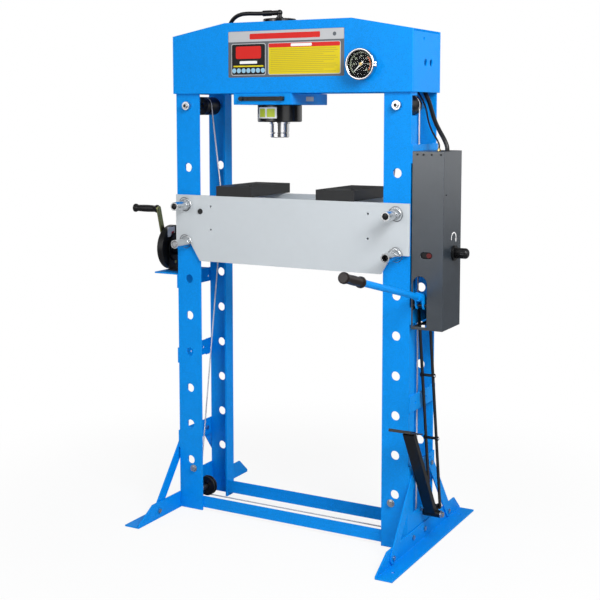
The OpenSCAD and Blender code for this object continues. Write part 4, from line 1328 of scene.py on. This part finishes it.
class Plug(Enum):
    """What fills the hollow end of a pin: its rim as (radius, depth) points, and its finish. The black ends
    are painted shade of the dark hollow, a flat disc or a real recess painted black; the zinc end is plain
    metal.
    """

    # painted shade: a flat black disc for the dark hollow end
    DARK = (((0.0105, 0.0), (0.0114, 0.0005)), BLACK)
    # a real recess, painted black as its shade
    HOLLOW = (((0.0095, 0.016), (0.0095, 0.003), (0.0114, 0.003)), BLACK)
    BRIGHT = (((0.0095, 0.0), (0.0114, 0.003)), ZINC)


@dataclass
class Bed(Assembly):
    """The bed plates, what joins them, the press blocks and the four pins."""

    pins: ClassVar = {
        "pin_upper_left": Plug.DARK,
        "pin_upper_right": Plug.DARK,
        "pin_lower_left": Plug.BRIGHT,
        "pin_lower_right": Plug.HOLLOW,
    }
    refined: ClassVar = {
        **dict.fromkeys(("bed_front", "bed_rear"), (BED_GREY, 0.0012)),
        "bed_spacers": (IRON, 0.0006),
        **dict.fromkeys(("press_block_left", "press_block_right"), (IRON, 0.0018, 3)),
        **dict.fromkeys(pins, (PIN_STEEL, 0.0009)),
    }
    upper: float = 1.176
    lower: float = 1.036
    plug_depth: float = 0.022
    bow_wide: float = 0.0235
    bow_high: float = 0.0255
    bow_lean: float = 0.004
    bow_place: tuple[float, float, float] = (0.005, -0.006, 0.003)
    wire_radius: float = 0.0011

    def detail(self) -> None:
        """An end in each pin, black as painted shade of its hollow or plain zinc, and the bow of a wire clip.
        """
        for node, pin_end in self.pins.items():
            box = Box.of(node)
            x, z = box.middle[0], self.upper if "upper" in node else self.lower
            rim, finish = pin_end.value
            profile = [(0.0, rim[0][1]), *rim, (rim[-1][0], self.plug_depth), (0.0, self.plug_depth)]
            surface = lathe(profile, (x, box.low[1], z), Axis.Y, 32)
            Bench.add(node + "_plug", surface, finish, NODE_BODY[node])
            self.bow(node, x, z)

    def bow(self, node: str, x: float, z: float) -> None:
        """The wide bow of a pin's wire clip: an open turn that leans out from the bed, off the pin's axis.

        Args:
            node: the pin.
            x: where its axis is.
            z: how high it is.
        """
        turn = np.radians(np.linspace(-150, 150, 48))
        aside, out, up = self.bow_place
        across = x + np.sign(x) * (aside + self.bow_wide * np.cos(turn))
        depth = Box.of("bed_front").low[1] + out - self.bow_lean * np.sin(turn)
        path = np.stack([across, depth, z + up + self.bow_high * np.sin(turn)], -1)
        Bench.add(node + "_bow", tube(path, self.wire_radius, (0, 1, 0), 10), WIRE, NODE_BODY[node])


@dataclass
class Winch(Assembly):
    """The winch on its shelf, its crank, and the rollers that carry the cables."""

    refined: ClassVar = {
        "winch_shelf": (BLUE, 0.001),
        "winch_frame": (BLACK, 0.0007),
        "winch_cover": (BLACK, 0.0011),
        "winch_drum": (BLACK, 0.0006),
        "crank": (OLIVE, 0.0008),
        **dict.fromkeys(("roller_top_left", "roller_top_right"), (NYLON, 0.0012)),
        **dict.fromkeys(("pulley_low_left", "pulley_low_right"), (NYLON, 0.0012)),
    }
    # name: (front, back, low, high), how far it stands off, finish
    fields: ClassVar = {
        "winch_field": ((-0.050, -0.002, 1.040, 1.078), 0.0004, WHITE),
        "winch_field_mark": ((-0.024, -0.008, 1.044, 1.060), 0.0006, RED),
    }
    pin_bore: float = 0.00507
    waist: float = 0.0122
    belly: float = 0.0016

    def detail(self) -> None:
        """The crank's grip and the field on the gear cover."""
        self.grip()
        x = Box.of("winch_cover").high[0]
        for name, (sides, proud, finish) in self.fields.items():
            Bench.add(name, slab(rectangle(*sides), x - SUNK, x + proud, Axis.X), finish)

    def grip(self) -> None:
        """A grip with a flange at both ends and a sine belly between them, hollow for its pin."""
        box = Box.of("crank_grip")
        length = box.size[0]
        share = np.linspace(0.08, 0.92, 12)
        radii = self.waist + self.belly * np.sin(math.pi * share)
        between = np.stack([radii, 0.014 + (length - 0.024) * share], -1)
        start = [(0.0125, 0.0), (0.0158, 0.002), (0.0165, 0.006), (0.0150, 0.0105), (0.0128, 0.014)]
        end = [(0.0135, length - 0.0095), (0.0155, length - 0.006), (0.0153, length - 0.001)]
        bore = [(0.0140, length), (self.pin_bore, length), (self.pin_bore, 0.0)]
        profile = [*start, *between.tolist(), *end, *bore, start[0]]
        surface = lathe(profile, (box.low[0], *box.middle[1:]), Axis.X, 40)
        Bench.add("crank_grip_dressed", surface, GRIP_BLACK, "crank_grip", ["crank_grip"])


@dataclass(frozen=True)
class Cord:
    """One cable or hose: the node it stands for, what it is made of and how it behaves."""

    node: str
    diameter: float
    finish: Finish
    stiffness: str
    lay: str
    sides: int
    reference: tuple[float, float, float]

    def run(self, name: str, path: Array) -> bpy.types.Object:
        """Lays the cord.

        Args:
            name: name of the piece.
            path: its centre line from the exit on.

        Returns:
            The new piece.
        """
        surface = tube(path, self.diameter / 2, self.reference, self.sides, mapped=True)
        obj = Bench.add(name, surface, self.finish, replaces=[self.node])
        path[0]
        return obj


@dataclass
class Lines(Assembly):
    """The cables and hoses: each follows the same points as its solid."""

    refined: ClassVar = {"hose_unions": (BRASS, 0.0004)}
    hoist: ClassVar = Cord("cable_hoist", 0.005, ROPE, "stiff", "taut", 14, (0, 1, 0.03))
    level: ClassVar = Cord("cable_level", 0.005, ROPE, "stiff", "taut", 14, (0, 1, 0))
    main: ClassVar = Cord("hose_main", 0.015, HOSE, "medium", "loose", 20, (0.1, 0.2, 1))
    thin: ClassVar = Cord("hose_gauge", 0.006, HOSE, "medium", "loose", 14, (1, 0.2, 0.3))
    roller_x: float = 0.425
    roller_z: float = 1.545
    roller_turn: float = 0.0315
    pulley_z: float = 0.061
    pulley_turn: float = 0.0345
    span_steps: int = 4

    @staticmethod
    def arc(x: float, z: float, r: float, start: float, end: float, steps: int) -> Array:
        """Points of a turn round a roller: (x + r cos a, 0, z + r sin a).

        Args:
            x: where the roller's axis is.
            z: how high it is.
            r: radius of the cord's middle line.
            start: first angle in degrees.
            end: last angle in degrees.
            steps: number of points.

        Returns:
            The points.
        """
        a = np.radians(np.linspace(start, end, steps))
        return np.stack([x + r * np.cos(a), np.zeros(steps), z + r * np.sin(a)], -1)

    def detail(self) -> None:
        """Lays the two cables, the hydraulic hose and the thin gauge line."""
        self.cables()
        self.main_hose()
        self.gauge_line()

    def cables(self) -> None:
        """From the drum over the left roller to the bed, and from the bed over the right roller and below."""
        left, right, z, r = -self.roller_x, self.roller_x, self.roller_z, self.roller_turn
        self.hoist.run("hoist_cable", np.vstack([
            [[-0.533, 0.0328, 0.997], [-0.515, 0.026, 1.137], [-0.495, 0.014, 1.317]],
            [[-0.4641, 0.001, 1.485]],
            self.arc(left, z, r, 173, 10, 20),
            [[-0.353, 0, 1.220], [-0.345, 0, 1.1483]],
        ]))
        self.level.run("level_cable", np.vstack([
            [[0.345, 0, 1.1483], [0.353, 0, 1.220]],
            self.arc(right, z, r, 170, 0, 20),
            self.arc(right, self.pulley_z, self.pulley_turn, 0, -90, 12),
            self.arc(left, self.pulley_z, self.pulley_turn, -90, -187, 12),
            [[-0.364, 0, 1.010], [-0.358, 0, 1.0477]],
        ]))

    def main_hose(self) -> None:
        """From the case up into the head, across, out over the left and down into the cylinder's elbow."""
        points = np.array([
            [572, -30, 1377], [572, -30, 1397], [568, -28, 1412], [555, -22, 1434], [537, -12, 1457],
            [519, 0, 1481], [504, 12, 1505], [491, 24, 1530], [478, 36, 1555], [463, 45, 1580],
            [446, 51, 1604], [424, 53, 1626], [398, 53, 1645], [370, 56, 1660], [340, 64, 1672],
            [310, 73, 1682], [280, 79, 1690], [250, 81, 1696], [220, 82, 1701], [190, 83, 1705],
            [160, 84, 1708], [130, 85, 1710], [100, 86, 1711], [70, 87, 1712], [40, 88, 1713],
            [10, 88, 1714], [-20, 88, 1715], [-50, 88, 1716], [-80, 88, 1717], [-110, 88, 1718],
            [-140, 88, 1719], [-170, 88, 1720], [-200, 87, 1722], [-230, 86, 1726], [-260, 83, 1733],
            [-287, 76, 1744], [-309, 64, 1760], [-324, 49, 1781], [-331, 34, 1805], [-326, 20, 1831],
            [-310, 9, 1855], [-287, 3, 1873], [-260, 0, 1882], [-232, 0, 1884], [-205, 0, 1883],
            [-182, 0, 1882], [-165, 0, 1882],
        ]) * MM
        obj = self.main.run("main_hose", smooth_path(points, self.span_steps))
        obj.parent = None
        obj.matrix_world.identity()
        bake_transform(obj)

    def gauge_line(self) -> None:
        """From its union beside the hose to the back of the gauge."""
        points = np.array([
            [548, -44, 1400], [548, -44, 1412], [541, -42, 1426], [528, -36, 1442], [514, -28, 1460],
            [500, -16, 1482], [488, -2, 1504], [477, 14, 1526], [464, 26, 1550], [449, 33, 1572],
            [434, 36, 1594], [420, 36, 1614], [404, 32, 1632], [386, 24, 1647], [366, 12, 1660],
            [346, -4, 1670], [328, -24, 1677], [315, -46, 1681], [308, -68, 1683], [305, -84, 1683],
            [305, -93, 1683],
        ]) * MM
        self.thin.run("gauge_line", smooth_path(points, self.span_steps))


@dataclass
class Pump(Assembly):
    """The pump case with its knob, the hand lever, the pedal and the rods between them."""

    refined: ClassVar = {
        "pump_case": (CASE_GREY, 0.0009),
        "case_trim": (BLACK, 0.0006),
        "pump_unit": (BLACK, 0.0015),
        "lever_bracket": (BLACK, 0.0006),
        "hand_lever": (BLUE, 0.0008),
        "foot_pedal": (BLACK, 0.001),
        "pedal_rods": (BLACK, 0.0007),
    }
    rod_screws: ClassVar = {"rod_screw_low": (-0.0005, 0.382), "rod_screw_high": (-0.0405, 0.614)}
    # name: (left, right, low, high, corner), (front, back) behind the case's front, finish, edge
    window: ClassVar = {
        "window_mark": ((0.5145, 0.5535, 1.0315, 1.0505, 0.009), (0.0024, 0.006), BLACK, 0.0005),
        "window_red": ((0.5345, 0.5525, 1.0325, 1.0495, 0.008), (0.0012, 0.003), EMBER, 0.0004),
    }
    knob_length: float = 0.0445
    knob_radius: float = 0.018
    knob_sides: int = 96
    flutes: int = 12
    flute_share: float = 0.045
    fluted_from: float = 0.015
    arrow_rise: float = 0.052
    arrow_radii: tuple[tuple[float, float], ...] = ((0.024, 0.020), (0.019, 0.015))
    lever_lean: float = 13.6
    lever_foot: tuple[float, float] = (-0.108, 0.896)

    def detail(self) -> None:
        """The knob, the arrow, the lever's grip, the window's red half and the ends of the rods' screws."""
        self.knob()
        self.arrow()
        self.grip()
        front = Box.of("pump_case").low[1]
        for name, (oval, (near, far), finish, edge) in self.window.items():
            Bench.add(name, front_plate(rounded(*oval), front + near, front + far), finish, edge=edge)
        side = Box.of("pedal_rods").high[0]
        end = [(0.0, -0.0005), (0.0046, -0.0005), (0.0046, 0.002), (0.0034, 0.0034), (0.0, 0.0036)]
        for name, (y, z) in self.rod_screws.items():
            Bench.add(name, lathe(end, (side, y, z), Axis.X, 24), ZINC, NODE_BODY["pedal_rods"])

    def knob(self) -> None:
        """A fluted knob on its shaft: its radius times 1 - share max(0, cos 12 a) squared, at angle a."""
        box = Box.of("release_knob")
        length, r, sides = box.size[0], self.knob_radius, self.knob_sides
        shoulder = length - self.knob_length
        profile = np.array([
            (0.0, 0.0), (0.005, 0.0), (0.005, shoulder), (r - 0.0015, shoulder), (r, shoulder + 0.002),
            (r, length - 0.008), (r - 0.0015, length - 0.004), (0.0140, length - 0.002),
            (0.0125, length), (0.0, length),
        ])
        surface = lathe(profile, (box.low[0], *box.middle[1:]), Axis.X, sides)
        rings = surface.points.reshape(len(profile), sides, 3)
        flutes = 1 - self.flute_share * np.maximum(0, np.cos(self.flutes * whole_turn(sides))) ** 2
        wide = profile[:, 0, None, None] > self.fluted_from
        centre = box.middle[1:]
        rings[..., 1:] = centre + (rings[..., 1:] - centre) * np.where(wide, flutes[None, :, None], 1.0)
        surface.points = rings.reshape(-1, 3)
        Bench.add("release_knob_dressed", surface, GRIP_BLACK, "release_knob", ["release_knob"])

    def arrow(self) -> None:
        """A plain curved arrow over the knob, on the case's side: a band between two arcs, and its head."""
        x = Box.of("pump_case").high[0]
        _, y, z = Box.of("release_knob").middle + [0, 0, self.arrow_rise]
        a = np.radians(np.linspace(200, -20, 28))[:, None]
        outer, inner = (np.hstack([wide * np.cos(a), high * np.sin(a)]) for wide, high in self.arrow_radii)
        band = np.vstack([outer[::-1], inner])
        head = np.array([[0.0135, -0.004], [0.0205, -0.016], [0.0285, -0.005]])
        for name, outline in (("case_arrow", band), ("case_arrow_head", head)):
            Bench.add(name, slab(outline + [y, z], x - SUNK / 2, x + 0.0003, Axis.X), WHITE)

    def grip(self) -> None:
        """A soft grip along the lever, waisted between a flared cuff and a round end: (run, radius) pairs."""
        lean = math.radians(self.lever_lean)
        along = np.array([0, -math.cos(lean), math.sin(lean)])
        foot = np.array([Box.of("lever_grip").middle[0], *self.lever_foot])
        shape = np.array([
            (0.482, 0.0172), (0.484, 0.0180), (0.492, 0.0180), (0.496, 0.0160), (0.500, 0.0148),
            (0.510, 0.0146), (0.530, 0.0153), (0.550, 0.0151), (0.570, 0.0146), (0.588, 0.0150),
            (0.597, 0.0172), (0.602, 0.0180), (0.608, 0.0176), (0.6115, 0.0150), (0.612, 0.0100),
        ])
        surface = tube(foot + shape[:, :1] * along, shape[:, 1], (1, 0, 0), 40)
        Bench.add("lever_grip_dressed", surface, GRIP_BROWN, "lever", ["lever_grip"])


# ---------------------------------------------------------------- the room


@dataclass
class Room:
    """Camera, lamps, pale floor and white surroundings."""

    # name, place, side, power
    lamps: ClassVar = (
        ("key", (2.7, -1.8, 3.2), 1.8, 138),
        ("front", (-1.1, -4.2, 2.1), 1.2, 24),
        ("back_left", (-3.6, 2.2, 2.4), 2.2, 16),
    )
    target: tuple[float, float, float] = (0, 0, 0.95)
    eye: tuple[float, float, float] = (1.9801, -3.6609, 1.5201)
    yaw: float = 28.545
    pitch: float = 5.631
    lens: float = 68.42
    sensor: float = 36.0
    shift: float = -0.125
    white: tuple[float, ...] = (1.0, 1.0, 1.0, 1.0)
    floor_half: float = 14.0
    floor_tone: tuple[float, ...] = (0.86, 0.86, 0.86, 1.0)
    floor_mirrored: tuple[float, ...] = (0.32, 0.32, 0.33, 1.0)
    floor_seen: float = 0.88
    floor_fade: tuple[float, float] = (0.75, 1.9)
    fill: float = 0.43
    bands: float = 4.0
    bands_phase: float = 3.13
    bands_edge: float = 0.3
    gap_level: float = 0.08
    back_level: float = 0.5
    back_edge: float = 0.5
    ceiling_level: float = 0.7
    ceiling_fade: tuple[float, float] = (0.75, 0.35)

    def build(self) -> None:
        """Makes the room."""
        self.camera()
        for lamp in self.lamps:
            self.lamp(*lamp)
        self.floor()
        self.world()
        bpy.context.scene.view_settings.view_transform = "Standard"

    def camera(self) -> None:
        """A level camera turned to the left and tipped a little down."""
        data = bpy.data.cameras.new("camera")
        data.lens = self.lens
        data.sensor_width = self.sensor
        data.shift_y = self.shift
        obj = stand("camera", data)
        obj.location = self.eye
        obj.rotation_euler = (math.radians(90 - self.pitch), 0, math.radians(self.yaw))
        bpy.context.scene.camera = obj

    def lamp(self, name: str, place: Sequence[float], size: float, power: float) -> None:
        """One soft square lamp aimed at the middle of the press.

        Args:
            name: name of the lamp.
            place: where it stands.
            size: length of its sides.
            power: its power in watts.
        """
        data = bpy.data.lights.new(name, "AREA")
        data.size = size
        data.energy = power
        obj = stand(name, data)
        obj.location = place
        obj.rotation_euler = (Vector(self.target) - Vector(place)).to_track_quat("-Z", "Y").to_euler()

    def floor(self) -> None:
        """A pale floor that shows nearly white to the camera, more so far out, and keeps a soft shadow."""
        half = self.floor_half
        flat = np.hstack([rectangle(-half, half, -half, half), np.zeros((4, 1))])
        obj = stand("floor", Surface(flat, [(0, 1, 2, 3)]).mesh("floor"))
        made = bpy.data.materials.new("floor")
        graph = Graph.inside(made)
        ray = graph.add("LightPath")
        tone = graph.blend(ray["Is Glossy Ray"], self.floor_tone, self.floor_mirrored)
        matte = graph.add("BsdfDiffuse", Color=tone)
        glow = graph.add("Emission", Color=self.white, Strength=1.0)
        place = graph.add("VectorMath", {"operation": "LENGTH"}, in0=graph.add("TexCoord")["Object"])
        share = self.floor_seen + (1 - self.floor_seen) * graph.ramp(place["Value"], *self.floor_fade)
        mix = graph.add("MixShader", Fac=ray["Is Camera Ray"] * share, in1=matte[0], in2=glow[0])
        graph.add("OutputMaterial", Surface=mix[0])
        obj.data.materials.append(made)

    def strips(self, graph: Graph) -> Signal:
        """What mirrors see round about: broad soft white panels with grey gaps between them.

        Args:
            graph: the world's graph.

        Returns:
            A level that changes with the compass direction and dims to the back and the ceiling.
        """
        way = graph.add("SeparateXYZ", Vector=graph.add("TexCoord")["Generated"])
        turn = graph.math("ARCTAN2", way["Y"], way["X"])
        wave = graph.math("SINE", turn * self.bands + self.bands_phase)
        ahead = graph.ramp(way["Y"], self.back_edge, -self.back_edge)
        front = self.back_level + (1 - self.back_level) * ahead
        height = front * (self.ceiling_level + graph.ramp(way["Z"], *self.ceiling_fade))
        return self.gap_level + graph.ramp(wave, -self.bands_edge, self.bands_edge) * height

    def world(self) -> None:
        """White where it is seen or seen through, panels where it is mirrored, a softer level as light."""
        world = bpy.data.worlds.new("world")
        graph = Graph.inside(world)
        ray = graph.add("LightPath")
        plain = graph.math("MAXIMUM", ray["Is Camera Ray"], ray["Is Transmission Ray"])
        shown = graph.math("MAXIMUM", plain, ray["Is Glossy Ray"] * self.strips(graph))
        level = graph.math("MAXIMUM", self.fill * (1.0 - ray["Is Glossy Ray"]), shown)
        back = graph.add("Background", Color=self.white, Strength=level)
        graph.add("OutputWorld", Surface=back[0])
        bpy.context.scene.world = world


def main() -> None:
    """Builds the room and every sub-assembly."""
    logging.basicConfig(level=logging.INFO, format="%(message)s")
    for part in (Room(), Lines(), Columns(), Head(), Gauge(), Cylinder(), Bed(), Winch(), Pump()):
        part.build()
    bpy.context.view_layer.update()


if __name__ == "__main__":
    main()
